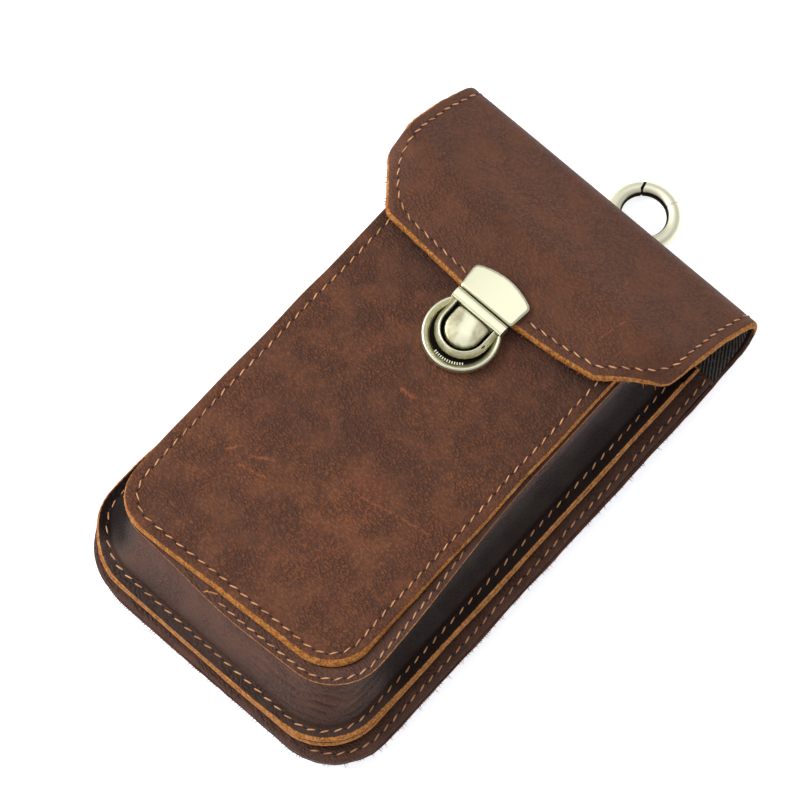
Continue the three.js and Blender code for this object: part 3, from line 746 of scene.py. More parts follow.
# Painted shade: the flesh side inside the mouth of the fold is darkened
for v in pattern.verts:
    if in_the_mouth(v.co) and v[edge] > MOUTH["off_edge"]:
        v[shade_and_stain] = MOUTH["shade_and_stain"]
finish_piece(pattern, "back_and_flap", [HIDE_FLAP], ["back_flap"])

# %% [markdown]
# ## The gussets
# Each pocket gets its depth from a strip that runs down one side, round both lower corners and up
# the other side. Both edges of the strip are turned outwards as flanges, so that they can be sewn.
# A strip is a grid: one way it follows the U of the pocket, and the other way it follows the section
# of the strip. The front strip is painted with more shade, bulges a little, and crumples at its lower
# right corner.


# %% Gusset ways and sections
WAY_STEPS = {"side": 44, "turn": 14, "bottom": 26}


def round_corner(centre, turn, start):
    """Stations round a lower corner, from an angle given in half turns."""
    way = []
    for k in range(WAY_STEPS["turn"]):
        angle = math.pi * (start + 0.5 * k / WAY_STEPS["turn"])
        out = Vector((math.cos(angle), math.sin(angle)))
        way.append((centre + turn * out, out))
    return way


def u_way(left, right, bottom, turn, top):
    """Stations down the left, round the bottom and up the right: places and outward directions."""
    side, along = WAY_STEPS["side"], WAY_STEPS["bottom"]
    start_up = bottom + turn
    way = []
    for k in range(side):
        way.append((Vector((left, top + (start_up - top) * k / side)), Vector((-1, 0))))
    way += round_corner(Vector((left + turn, start_up)), turn, 1.0)
    for k in range(along):
        x = left + turn + (right - left - 2 * turn) * k / along
        way.append((Vector((x, bottom)), Vector((0, -1))))
    way += round_corner(Vector((right - turn, start_up)), turn, 1.5)
    for k in range(side + 1):
        way.append((Vector((right, start_up + (top - bottom - turn) * k / side)), Vector((1, 0))))
    return way


def bend_point(start, corner, end, t):
    """A point on the soft bend that a corner of the section gets."""
    return start.lerp(corner, t).lerp(corner.lerp(end, t), t)


FLANGE_ROWS = (0.0, 0.08, 0.18, 0.32, 0.5, 0.7, 0.88)
BEND = 0.7
BEND_ROWS = 5
ON_WALL = 9.0


def section_rows(upper_reach, lower_reach, low, high, wall_rows):
    """The section from the upper cut to the lower: (out, height, way in from the cut, wall part)."""
    rows = []
    bend_up = min(BEND, 0.8 * upper_reach)
    for f in FLANGE_ROWS:
        rows.append((upper_reach + (bend_up - upper_reach) * f, high, f * upper_reach, 1.0))
    for k in range(BEND_ROWS):
        start, end = Vector((bend_up, high)), Vector((0, high - BEND))
        p = bend_point(start, Vector((0, high)), end, k / (BEND_ROWS - 1))
        rows.append((p.x, p.y, upper_reach, 1.0))
    for k in range(1, wall_rows):
        part = 1 - k / wall_rows
        rows.append((0, low + BEND + (high - low - 2 * BEND) * part, ON_WALL, part))
    for k in range(BEND_ROWS):
        start, end = Vector((0, low + BEND)), Vector((BEND, low))
        p = bend_point(start, Vector((0, low)), end, k / (BEND_ROWS - 1))
        rows.append((p.x, p.y, lower_reach, 0.0))
    for f in reversed(FLANGE_ROWS):
        rows.append((lower_reach + (BEND - lower_reach) * f, low, f * lower_reach, 0.0))
    return rows


def seam_shade(x, y, height, part, station):
    """Painted shade in the crease at the wall's foot, between its folds and up its two sides."""
    crease = max(0.56 * smooth_step(0.09, 0.0, part), 0.44 * smooth_step(0.52, 0.08, part))
    streak = 3 * ripple(station, height * 0.3, 3.0, 12.0)
    between = 0.55 * smooth_step(0.05, -0.6, fold_wave(x, y, height, part, station))
    left = 0.93 * smooth_step(-27, -44, x + streak) * smooth_step(0, 14, y)
    right = 0.80 * smooth_step(30, 44, x) * smooth_step(15, 38, y) * smooth_step(1.0, 0.8, part)
    return max(crease, between, left, right)


def even_shade(x, y, height, part, station):
    """The rear strip lies open to the light, so it is only a little darker than the rest."""
    return 0.15


def gusset(ways, reaches, heights, shape, shade, wall_rows):
    """A strip of hide along a lower and an upper way. Its grain side is the wall's outer face."""
    lower, upper = ways
    reach_up, reach_low = reaches
    low, high = heights
    sections = [section_rows(reach_up(*spot), reach_low, low, high, wall_rows) for spot, _ in upper]
    columns, rows = len(lower) - 1, len(sections[0]) - 1
    bm = bmesh.new()
    edge, _, shade_and_stain = (bm.verts.layers.float.new(name) for name in ("edge", "raw", "shade_and_stain"))
    bmesh.ops.create_grid(bm, x_segments=columns, y_segments=rows, size=0.5)
    for v in bm.verts:
        i, j = round((v.co.x + 0.5) * columns), round((v.co.y + 0.5) * rows)
        out, height, v[edge], part = sections[i][j]
        rise = min(max((height - low) / (high - low), 0), 1)
        foot, out_low = lower[i]
        head, _ = upper[i]
        held = min(1.0, v[edge] / reach_low)
        spot = foot.lerp(head, rise) + out_low * (out + held * shape(foot, height, part, i))
        v.co = Vector((spot.x, spot.y, height))
        v[shade_and_stain] = shade(spot.x, spot.y, height, part, i)
    bmesh.ops.recalc_face_normals(bm, faces=bm.faces[:])
    return bm


def turn_grain_up(strip, foot):
    """Turns a strip's faces over if its lower flange, which lies at foot, looks down."""
    if sum(f.normal.z for f in strip.faces if f.calc_center_median().z < foot + 0.1) < 0:
        bmesh.ops.reverse_faces(strip, faces=strip.faces[:])
    strip.normal_update()


# %% Front gusset
STRIP = 1.2
FRONT_LOW = level("front_gusset", 0) + STRIP
FRONT_HIGH = level("front_gusset", 1) - STRIP
FRONT_FLANGE = 6.2
front_lower = u_way(left=-45.2, right=44.6, bottom=9.0, turn=13.5, top=158.0)
front_upper = u_way(left=-45.9, right=38.3, bottom=18.2, turn=12.0, top=158.0)
front_upper = [(spot + Vector((0, slant(*spot))), out) for spot, out in front_upper]
CRUMPLE = {"x": 36.0, "y": 12.0, "reach": 32.0, "depth": 0.42, "pitch": 1.8}


def flange_reach(x, y):
    """The upper flange peeps out from under the front: not at the left, most at the lower right."""
    across = smooth_step(-42, 8, x)
    up = smooth_step(105, 30, y)
    return 1.1 + 4.2 * across * up


def fold_wave(x, y, height, part, station):
    """Folds pressed into the wall at the lower right corner, from -1 in a crease to 1 on a fold."""
    near = smooth_step(CRUMPLE["reach"], 4, math.hypot(x - CRUMPLE["x"], y - CRUMPLE["y"]))
    shifted = height + 1.6 * ripple(station, height, 7, 1.0) + 0.6 * ripple(station, height, 2.5, 5.0)
    fold = math.sin(2 * math.pi * shifted / CRUMPLE["pitch"]) * (0.7 + ripple(station, height, 5, 9.0))
    return near * fold * smooth_step(0.75, 0.35, part) * smooth_step(0, 0.12, part)


def front_bulge(spot, height, part, station):
    belly = 1.2 * math.sin(math.pi * part) + 2.3 * smooth_step(0.62, 0.0, part)
    crumple = CRUMPLE["depth"] * fold_wave(spot.x, spot.y, height, part, station)
    slack = 0.5 * ripple(station, height * 1.5, 14, 6.0) * math.sin(math.pi * part)
    return belly + crumple + slack


def spread_foot(bm):
    """The lower flange and the wall's foot follow the flare of the seam."""
    for v in bm.verts:
        v.co.x += flare(v.co.x, v.co.y) * smooth_step(FRONT_HIGH, FRONT_LOW, v.co.z)


def strip_shoulder(place):
    """The base flange is rubbed wide at the lower right, and the upper one hardly at all."""
    if place.z > FRONT_LOW + 3:
        return 0.35
    right = (0.5 + 0.6 * smooth_step(110, 40, place.y)) * smooth_step(0, 38, place.x)
    corner = 1.4 * smooth_step(20, 34, place.x) * smooth_step(40, 16, place.y)
    return 0.5 + right + corner + 0.9 * smooth_step(-26, -40, place.x)


strip = gusset(
    (front_lower, front_upper), (flange_reach, FRONT_FLANGE), (FRONT_LOW, FRONT_HIGH),
    front_bulge, seam_shade, wall_rows=46,
)
spread_foot(strip)
turn_grain_up(strip, FRONT_LOW)
thicken(strip, STRIP, strip_shoulder, drop=0.5, ragged=0.08)
finish_piece(strip, "front_strip", [HIDE_SIDE], ["front_gusset"])

# %% Rear gusset
REAR_LOW = level("rear_gusset", 0) + STRIP
REAR_HIGH = level("rear_gusset", 1) - STRIP
REAR_FLANGES = {"upper": 6.4, "lower": 7.2}
rear_lower = u_way(left=-44.6, right=48.5, bottom=7.8, turn=12.5, top=166.0)
rear_upper = u_way(left=-45.0, right=44.2, bottom=9.2, turn=13.0, top=166.0)


def rear_reach(x, y):
    return REAR_FLANGES["upper"]


def rear_bulge(spot, height, part, station):
    return 0.4 * math.sin(math.pi * part)


strip = gusset(
    (rear_lower, rear_upper), (rear_reach, REAR_FLANGES["lower"]), (REAR_LOW, REAR_HIGH),
    rear_bulge, even_shade, wall_rows=6,
)
turn_grain_up(strip, REAR_LOW)
thicken(strip, STRIP, shoulder=0.7, drop=0.35, ragged=0.15, bare=lambda place: 0.25)
finish_piece(strip, "rear_strip", [HIDE_SIDE], ["rear_gusset"])

# %% [markdown]
# ## The twill in the fold
# A black twill strip lines the fold, and only its right end shows. It is cut flat, and its weave has
# to follow the cloth round the fold, so the flat pattern is kept as a UV map before the sheet is bent.

# %% Twill finish
RIB_PITCH = 1.0
FLOAT_PITCH = 0.55
# The scale at which a wave texture has one rib in each unit
RIB_SCALE = 0.314
TWILL_BLACK = (0.003, 0.0025, 0.0025, 1)
TWILL_GREY = (0.120, 0.100, 0.090, 1)
TWILL_DUST = (0.30, 0.18, 0.11, 1)


def ribs_across(base, axis, flat, pitch):
    sockets = {"Vector": flat, "Scale": RIB_SCALE / pitch}
    return base.node("ShaderNodeTexWave", {"bands_direction": axis}, sockets, out=1)


def twill_finish():
    material, shader, base = start_finish("black_twill")
    flat = base.node("ShaderNodeUVMap", {"uv_map": "flat"})
    ribs = ribs_across(base, "X", stretched(base, flat, -32, (1, 1, 1)), RIB_PITCH)
    floats = ribs_across(base, "Y", flat, FLOAT_PITCH)
    dust = cloud(base, in_millimetres(base), 1.1, detail=4).step(0.52, 0.75)
    raised = ribs * 0.8 + floats * 0.2
    colour = raised.step(0.35, 0.80).mix(TWILL_BLACK, TWILL_GREY)
    feed(shader, "Base Color", (dust * 0.6).mix(colour, TWILL_DUST))
    feed(shader, "Roughness", 0.75 - raised * 0.15)
    feed_bump(shader, raised, strength=0.9, depth=0.3)
    return material


TWILL = twill_finish()

# %% Lining
LINING = {"on_back": 13.0, "on_flap": 43.0, "left": -54.7, "right": 55.6, "right_end": 50.9}
LINING_THICK = 0.55
LINING_GAP = 0.3
lining_start = BACK["fold_start"] - LINING["on_back"]
lining_end = BACK["fold_start"] + LINING["on_flap"]
corners = [
    (LINING["left"], lining_start), (LINING["right"], lining_start),
    (LINING["right_end"], lining_end), (LINING["left"], lining_end),
]
x_cuts = even_cuts(LINING["left"], LINING["right"], 4)
pattern = cut_pattern(corners, [0] * 4, x_cuts, even_cuts(lining_start, lining_end, 1.1), rings=(0.4, 0.8))
flat_map = pattern.loops.layers.uv.new("flat")
for f in pattern.faces:
    for corner in f.loops:
        corner[flat_map].uv = corner.vert.co.xy
lay_pattern(pattern, lambda x, s: lay_hide(x, s, BACK_HALF + LINING_GAP + LINING_THICK))
bmesh.ops.solidify(pattern, geom=pattern.faces[:], thickness=LINING_THICK)
lining = finish_piece(pattern, "fold_lining", [TWILL], ["flap_lining"])

# %% [markdown]
# ## Belt loop and ring tab
# Both are strips on the back that the photo doesn't show, so they are plain. Each is a rectangle that
# follows its own course: the loop dips so that a belt can pass, and the tab wraps the ring's wire.


# %% A strip along a course
def course_strip(sizes, legs, start, names, shoulder, step):
    """A strap of hide that follows legs from start (y, z). Gives its way of laying and its length."""
    wide, half = sizes["half_wide"], sizes["half"]
    total = sum(length for length, _ in legs)
    at = course_from(legs, *start)
    corners = [(-wide, 0), (wide, 0), (wide, total), (-wide, total)]
    y_cuts = even_cuts(0, total, step)
    pattern = cut_pattern(corners, [1.6] * 4, even_cuts(-wide, wide, 3), y_cuts, EDGE_RINGS[:3])

    def lay(x, s):
        y, z, heading = at(s)
        return Vector((sizes["x"] + x, y + math.sin(heading) * half, z - math.cos(heading) * half))

    lay_pattern(pattern, lay, turned=True)
    thicken(pattern, 2 * half, shoulder, drop=0.4, ragged=0.1)
    piece_name, node = names
    finish_piece(pattern, piece_name, [HIDE_FLAP], [node])
    return lay, total


# %% Belt loop
LOOP = {
    "x": 0.0, "half_wide": 20.0, "half": 0.85, "start": 62.0, "end": 146.0,
    "sewn": 12.0, "drop": 4.3, "bend": 3.0, "gap": 0.3,
}
dip = math.radians(40)
ramp = (LOOP["drop"] - 2 * LOOP["bend"] * (1 - math.cos(dip))) / math.sin(dip)
ramp_run = 2 * LOOP["bend"] * math.sin(dip) + ramp * math.cos(dip)
belt_run = LOOP["end"] - LOOP["start"] - 2 * LOOP["sewn"] - 2 * ramp_run
down, up = (LOOP["bend"] * dip, -dip), (LOOP["bend"] * dip, dip)
LOOP_LEGS = [
    (LOOP["sewn"], 0), down, (ramp, 0), up, (belt_run, 0), up, (ramp, 0), down, (LOOP["sewn"], 0),
]
loop_start = (LOOP["start"], -LOOP["gap"] - LOOP["half"])
lay_loop, loop_length = course_strip(
    LOOP, LOOP_LEGS, loop_start, ("belt_strap", "belt_loop"), shoulder=0.8, step=1.6,
)

# %% Ring tab
RING = {
    "x": 5.4, "reach": 9.2, "radius": 9.2, "wire": 2.3, "lift": 0.3,
    "split": 132.0, "hinge": 60.0, "gap": 1.0, "tilt": 5.88,
}
EYE_Y, EYE_Z = 184.44, -2.474
TAB = {
    "x": RING["x"], "half_wide": 3.5, "half": 0.42, "tail": 150.0, "low": -1.95,
    "eye": 3.276, "turn": 3.0, "before_eye": 5.77, "after_eye": 4.1,
}
dive, wrap, rise = (math.radians(angle) for angle in (66.8, 289.3, 42.5))
TAB_LEGS = [
    (EYE_Y - TAB["before_eye"] - TAB["tail"], 0),
    (TAB["turn"] * dive, -dive),
    (TAB["eye"] * wrap, wrap),
    (TAB["turn"] * rise, -rise),
    (EYE_Y - TAB["after_eye"] - TAB["tail"], 0),
]
tab_start = (TAB["tail"], TAB["low"])
lay_tab, _ = course_strip(
    TAB, TAB_LEGS, tab_start, ("ring_strap", "ring_tab"), shoulder=0.5, step=1.0,
)

# %% [markdown]
# ## Old brass
# The fittings are plated to look like old brass: pale and worn on the ridges, brown-black in the
# hollows. The meshes carry a number from 0 on a worn ridge to 1 in a hollow, which also holds painted
# shade on the ring's inner face and underside, on the tongue under the bar and on the catch in the
# ring's split, and leaves a painted highlight across the shield. The finish adds small stains and a
# brushed roughness. The ring's brass is a paler copy, painted brighter to look more brightly lit.


# %% Brass finish
BRASS_WORN = (0.79, 0.775, 0.565, 1)
BRASS_LIT = (0.95, 0.92, 0.70, 1)
BRASS_DULL = (0.40, 0.355, 0.215, 1)
BRASS_DARK = (0.012, 0.010, 0.008, 1)


def brass_finish(name, rough, worn_and_shaded):
    material, shader, base = start_finish(name)
    place = in_millimetres(base)
    hollow_and_shade = carried(base, "hollow_and_shade")
    stain = cloud(base, place, 2.6, detail=5, roughness=0.6)
    brushed = cloud(base, stretched(base, place, 0, (0.25, 2.4, 1)), 0.5, detail=3)
    colour = (stain * 0.6 + hollow_and_shade * 0.9).step(0.38, 0.85).mix(worn_and_shaded, BRASS_DULL)
    feed(shader, "Base Color", hollow_and_shade.step(0.55, 0.9).mix(colour, BRASS_DARK))
    feed(shader, "Roughness", rough + brushed * 0.10 + hollow_and_shade * 0.25)
    shader.inputs["Metallic"].default_value = 1.0
    feed_bump(shader, brushed, strength=0.25, depth=0.03)
    return material


BRASS = brass_finish("worn_brass", 0.30, BRASS_WORN)
# Painted light: the ring's brass is a paler copy of the lock's, so that the ring looks more brightly lit
RING_BRASS = brass_finish("ring_brass", 0.44, BRASS_LIT)
print("brass finish:", BRASS.name)


# %% [markdown]
# ## The lock
# A push lock in three pieces: a round base with a raised rim and a bridge bar, a thumb piece that
# slides in it, and a plate on the flap whose tongue passes under the bar. The rim is a profile spun
# round the lock's centre, the thumb piece is a section pulled down, spun half round and pulled up
# again, and the plate and the shield are cut as patterns.

# %% Lock base
LOCK = Vector((-3.9, 120.5, SEAT))
RIM = [
    (0, 0.9), (9.0, 0.9), (9.3, 1.0), (9.45, 1.3), (9.7, 1.65), (10.1, 2.0), (10.5, 2.4), (10.8, 2.62),
    (11.1, 2.7), (11.4, 2.62), (11.62, 2.3), (11.78, 1.7), (11.8, 0.4), (11.6, 0.0), (0, 0.0),
]
BAR = {"half": 9.4, "low": 6.2, "high": 9.8, "height": 5.0, "soft": 0.9, "rim_cut": 0.6}
SLOT = {"half": 6.3, "low": 2.1, "high": 3.8}
TEETH = {"count": 13, "first": 256.0, "step": 4.8, "hollow_and_shade": 0.2}
TOOTH_PLACE = (9.3, 0, 1.0)
TOOTH_SIZE = (1.1, 0.34, 0.7, 1)


def new_brass():
    bm = bmesh.new()
    bm.verts.layers.float.new("hollow_and_shade")
    return bm


def set_recess(bm, rule):
    hollow_and_shade = layer(bm, "hollow_and_shade")
    for v in bm.verts:
        v[hollow_and_shade] = rule(v.co)


def move(bm, way):
    bmesh.ops.translate(bm, verts=bm.verts[:], vec=way)


def faces_in(geom):
    return [part for part in geom if isinstance(part, bmesh.types.BMFace)]


def points_in(geom):
    return [part for part in geom if isinstance(part, bmesh.types.BMVert)]


def spun_profile(bm, profile, steps):
    """A body of revolution about z from (radius, height) points that start and end on the axis."""
    chain = [bm.verts.new((r, 0, z)) for r, z in profile]
    links = [bm.edges.new(pair) for pair in zip(chain, chain[1:])]
    bmesh.ops.spin(
        bm, geom=chain + links, cent=(0, 0, 0), axis=(0, 0, 1),
        angle=2 * math.pi, steps=steps, use_merge=True,
    )
    bmesh.ops.remove_doubles(bm, verts=bm.verts[:], dist=0.001)
    bmesh.ops.recalc_face_normals(bm, faces=bm.faces[:])


def slotted_bar(bm):
    """A 3 by 3 grid whose middle cell is the slot, pulled out to a bar with soft edges."""
    columns = (-BAR["half"], -SLOT["half"], SLOT["half"], BAR["half"])
    rows = (0.0, SLOT["low"], SLOT["high"], BAR["height"])
    made = bmesh.ops.create_grid(bm, x_segments=3, y_segments=3, size=1.5)["verts"]
    for v in made:
        v.co = Vector((columns[round(v.co.x + 1.5)], BAR["low"], rows[round(v.co.y + 1.5)]))
    cells = {f for v in made for f in v.link_faces}
    slot_middle = Vector((0, BAR["low"], (SLOT["low"] + SLOT["high"]) / 2))
    slot = min(cells, key=lambda f: (f.calc_center_median() - slot_middle).length)
    bmesh.ops.delete(bm, geom=[slot], context="FACES_ONLY")
    cells.remove(slot)
    far = points_in(bmesh.ops.extrude_face_region(bm, geom=list(cells), use_keep_orig=True)["geom"])
    bmesh.ops.translate(bm, verts=far, vec=(0, BAR["high"] - BAR["low"], 0))
    bar_points = made + far
    bmesh.ops.recalc_face_normals(bm, faces=list({f for v in bar_points for f in v.link_faces}))
    soft = set()
    for e in {e for v in bar_points for e in v.link_edges}:
        first, second = (v.co for v in e.verts)
        on_crest = first.z == second.z == BAR["height"] and abs(first.y - second.y) < 0.1
        at_end = abs(first.x) == abs(second.x) == BAR["half"] and e.calc_face_angle(0) > 1
        if on_crest or at_end:
            soft.add(e)
    bmesh.ops.bevel(
        bm, geom=list(soft), offset=BAR["soft"], offset_type="OFFSET", segments=6, profile=0.5,
        affect="EDGES", material=-1,
    )


bm = new_brass()
spun_profile(bm, RIM, 96)
bmesh.ops.bisect_plane(
    bm, geom=bm.verts[:] + bm.edges[:] + bm.faces[:], dist=0.001,
    plane_co=(0, BAR["high"] - BAR["rim_cut"], 0), plane_no=(0, 1, 0), clear_outer=True,
)
bmesh.ops.holes_fill(bm, edges=[e for e in bm.edges if e.is_boundary])
slotted_bar(bm)


def base_recess(place):
    from_centre = math.hypot(place.x, place.y)
    hollow = smooth_step(9.5, 9.2, from_centre) if place.z < 1.7 and place.y < BAR["low"] else 0
    slope = 0.35 * smooth_step(11.0, 10.2, from_centre) if place.z < 2.6 else 0
    return max(hollow, slope, 0.7 * smooth_step(0.6, 0.0, place.z))


set_recess(bm, base_recess)
for k in range(TEETH["count"]):
    turn = Matrix.Rotation(math.radians(TEETH["first"] + TEETH["step"] * k), 4, "Z")
    place = turn @ Matrix.Translation(TOOTH_PLACE) @ Matrix.Diagonal(TOOTH_SIZE)
    for v in bmesh.ops.create_cube(bm, size=1, matrix=place)["verts"]:
        v[layer(bm, "hollow_and_shade")] = TEETH["hollow_and_shade"]
move(bm, LOCK)
finish_piece(bm, "lock_rim", [BRASS], ["lock_base"])

# %% Thumb piece
THUMB = {"centre": 1.2, "top": 6.1, "shield": 6.0}
NICK_PLACE = (7.75, 0.6, 3.45)
NICK_SIZE = (0.32, 0.85, 0.3, 1)
NICK_LEAN = math.radians(-12)
HORSESHOE = [
    (6.05, 1.5), (6.75, 1.75), (6.9, 2.2), (6.93, 3.75), (7.02, 4.05), (7.18, 4.2), (7.36, 4.2),
    (7.52, 4.08), (7.7, 3.8), (8.25, 2.75), (8.6, 2.2), (8.75, 1.85), (8.75, 1.5), (6.05, 1.3),
]
bm = new_brass()
section = bm.faces.new([bm.verts.new((-r, THUMB["top"], z)) for r, z in HORSESHOE])


def pull_down(bm, face, distance):
    """Pulls a section along y and gives its new end."""
    pulled = bmesh.ops.extrude_face_region(bm, geom=[face])["geom"]
    bmesh.ops.translate(bm, verts=points_in(pulled), vec=(0, distance, 0))
    return faces_in(pulled)[0]


# A copy of the section stays behind and closes the first leg
bmesh.ops.duplicate(bm, geom=[section])
section = pull_down(bm, section, THUMB["centre"] - THUMB["top"])
turned = bmesh.ops.spin(
    bm, geom=[section] + section.edges[:] + section.verts[:], cent=(0, THUMB["centre"], 0),
    axis=(0, 0, 1), angle=math.pi, steps=40,
)["geom_last"]
pull_down(bm, faces_in(turned)[0], THUMB["top"] - THUMB["centre"])
bmesh.ops.remove_doubles(bm, verts=bm.verts[:], dist=0.001)
bmesh.ops.recalc_face_normals(bm, faces=bm.faces[:])


def thumb_recess(place):
    beside = math.hypot(place.x, min(0, place.y - THUMB["centre"]))
    groove = smooth_step(7.0, 6.8, beside) * smooth_step(3.9, 3.0, place.z)
    return max(groove, 0.8 * smooth_step(1.8, 1.5, place.z), 0.42 * smooth_step(7.5, 8.0, beside))


set_recess(bm, thumb_recess)
nick = Matrix.Translation(NICK_PLACE) @ Matrix.Rotation(NICK_LEAN, 4, "Z") @ Matrix.Diagonal(NICK_SIZE)
for v in bmesh.ops.create_uvsphere(bm, u_segments=10, v_segments=6, radius=1, matrix=nick)["verts"]:
    v[layer(bm, "hollow_and_shade")] = 1.0
move(bm, LOCK)
horseshoe = bm

# %% The shield of the thumb piece
SHIELD = {"side": 3.5, "crown": 4.15, "edge": 0.9, "fall": 0.8, "thick": 0.5}
half, shield_low = THUMB["shield"], THUMB["centre"] - THUMB["shield"]
corners = [(-half, shield_low), (half, shield_low), (half, THUMB["top"]), (-half, THUMB["top"])]
pattern = cut_pattern(
    corners, [5.95, 5.95, 0.9, 0.9], even_cuts(-6, 6, 0.55), even_cuts(shield_low, THUMB["top"], 0.7),
    rings=(0.15, 0.2, 0.3),
)
hollow_and_shade = pattern.verts.layers.float.new("hollow_and_shade")
edge = layer(pattern, "edge")
for v in pattern.verts:
    vault = 1 - abs(v.co.x / half) ** 1.9
    fall = smooth_step(THUMB["centre"], shield_low - 1, v.co.y)
    rim_drop = SHIELD["edge"] * (1 - smooth_step(0, 0.6, v[edge])) ** 2
    # Painted highlight: a diagonal band across the shield is left bright and the rest is painted duller as
    # shade; the shield is also duller towards the bottom
    rubbed_and_lit = smooth_step(3.2, 0.4, abs(v.co.x + 0.35 * v.co.y - 1.0))
    worn_and_shaded = max(0.40 * (1 - rubbed_and_lit), 0.55 * smooth_step(-2.0, -4.4, v.co.y))
    v[hollow_and_shade] = max(0.8 * (1 - smooth_step(0, 0.45, v[edge])), worn_and_shaded)
    rise = (SHIELD["crown"] - SHIELD["side"]) * vault
    v.co.z = SHIELD["side"] + rise - SHIELD["fall"] * fall - rim_drop
pattern.normal_update()
bmesh.ops.solidify(pattern, geom=pattern.faces[:], thickness=SHIELD["thick"])
move(pattern, LOCK)
shield_mesh = bpy.data.meshes.new("shield")
pattern.to_mesh(shield_mesh)
pattern.free()
horseshoe.from_mesh(shield_mesh)
bpy.data.meshes.remove(shield_mesh)
finish_piece(horseshoe, "thumb_piece", [BRASS], ["lock_button"], body="button")

# %% Strike plate
PLATE = {
    "half_foot": 9.8, "half_head": 10.6, "foot": 10.4, "shoulder": 18.4, "crest": 21.0,
    "thick": 1.5, "lift": 2.3, "crown": 0.45, "edge": 0.45,
}
TONGUE = {"half": 5.7, "tip": 6.6, "root": 12.0, "low": 2.5, "high": 3.5}
NEAR = 0.01
crest_line = [
    (-PLATE["half_head"] * u, PLATE["crest"] - (PLATE["crest"] - PLATE["shoulder"]) * u * u)
    for u in (k / 5 - 1 for k in range(11))
]
corners = [(-PLATE["half_foot"], PLATE["foot"]), (PLATE["half_foot"], PLATE["foot"])] + crest_line
rounds = [0.9, 0.9, 1.2] + [0] * (len(crest_line) - 2) + [1.2]
pattern = cut_pattern(
    corners, rounds, even_cuts(-10, 10, 1.2), even_cuts(11, 21, 1.2), rings=(0.12, 0.16, 0.22, 0.3),
)
pattern.verts.layers.float.new("hollow_and_shade")
edge = layer(pattern, "edge")
for v in pattern.verts:
    rim_drop = PLATE["edge"] * (1 - smooth_step(0, 0.7, v[edge])) ** 2
    v.co.z = PLATE["lift"] + PLATE["thick"] - rim_drop
    v.co.z += PLATE["crown"] * (1 - ((v.co.x - 3) / 13) ** 2)
pattern.normal_update()
bmesh.ops.solidify(pattern, geom=pattern.faces[:], thickness=PLATE["thick"] - 0.2)
middle = (0, (TONGUE["tip"] + TONGUE["root"]) / 2, (TONGUE["low"] + TONGUE["high"]) / 2)
size = (2 * TONGUE["half"], TONGUE["root"] - TONGUE["tip"], TONGUE["high"] - TONGUE["low"], 1)
bmesh.ops.create_cube(pattern, size=1, matrix=Matrix.Translation(middle) @ Matrix.Diagonal(size))


def plate_shade(place):
    """The tongue lies in the shade under the bar and is painted dark, and the plate's foot beside the bar
    is painted darker as shade.
    """
    below = place.z < TONGUE["high"] + NEAR
    if below and place.y < TONGUE["root"] + NEAR and abs(place.x) < TONGUE["half"] + NEAR:
        return 1.0
    return 0.8 * smooth_step(10.6, 10.4, place.y)


set_recess(pattern, plate_shade)
move(pattern, LOCK)
finish_piece(pattern, "strike_plate", [BRASS], ["lock_plate"])

# %% [markdown]
# ## The ring
# A round wire ring with a sprung gate. The wire is a circle spun round the ring's axis. The body ends
# in a ball at the gate's hinge, and the gate's end is hollowed to fit it, so it can swing. At the nose
# both ends get the same shallow S, with a hair's gap between them.

# %% Ring and gate
ring_tilt = math.radians(RING["tilt"])
RING_UP = Vector((0, math.cos(ring_tilt), -math.sin(ring_tilt)))
RING_AXIS = Vector((0, math.sin(ring_tilt), math.cos(ring_tilt)))
RING_CENTRE = Vector((RING["x"], EYE_Y, EYE_Z + RING["lift"])) + RING["reach"] * RING_UP


def on_ring(degrees, radius):
    turn = math.radians(degrees)
    return RING_CENTRE + radius * (math.cos(turn) * Vector((1, 0, 0)) + math.sin(turn) * RING_UP)


def wire(bm, start, end, steps):
    """A wire along the ring from one angle to another, with its two end faces."""
    out = (on_ring(start, 1) - RING_CENTRE).normalized()
    turn = Matrix((out, RING_AXIS, out.cross(RING_AXIS))).transposed().to_4x4()
    place = Matrix.Translation(on_ring(start, RING["radius"])) @ turn
    first = bmesh.ops.create_circle(
        bm, cap_ends=True, segments=24, radius=RING["wire"], matrix=place,
    )["verts"]
    face = first[0].link_faces[0]
    turned = bmesh.ops.spin(
        bm, geom=[face] + face.edges[:] + face.verts[:], cent=RING_CENTRE, axis=RING_AXIS,
        angle=math.radians(end - start), steps=steps,
    )["geom_last"]
    return face, faces_in(turned)[0]


NOSE_BEND = 0.6
CATCH = {"inset": 0.25, "wall": 0.02, "reach": 0.9}


def nose_curve(face, degrees):
    """Bends an end face into the shallow S of the split."""
    along = (on_ring(degrees + 1, 1) - on_ring(degrees - 1, 1)).normalized()
    middle = on_ring(degrees, RING["radius"])
    out = (middle - RING_CENTRE).normalized()
    for v in face.verts:
        aside = (v.co - middle).dot(out) / RING["wire"]
        v.co -= along * NOSE_BEND * math.sin(aside * math.pi * 0.8)


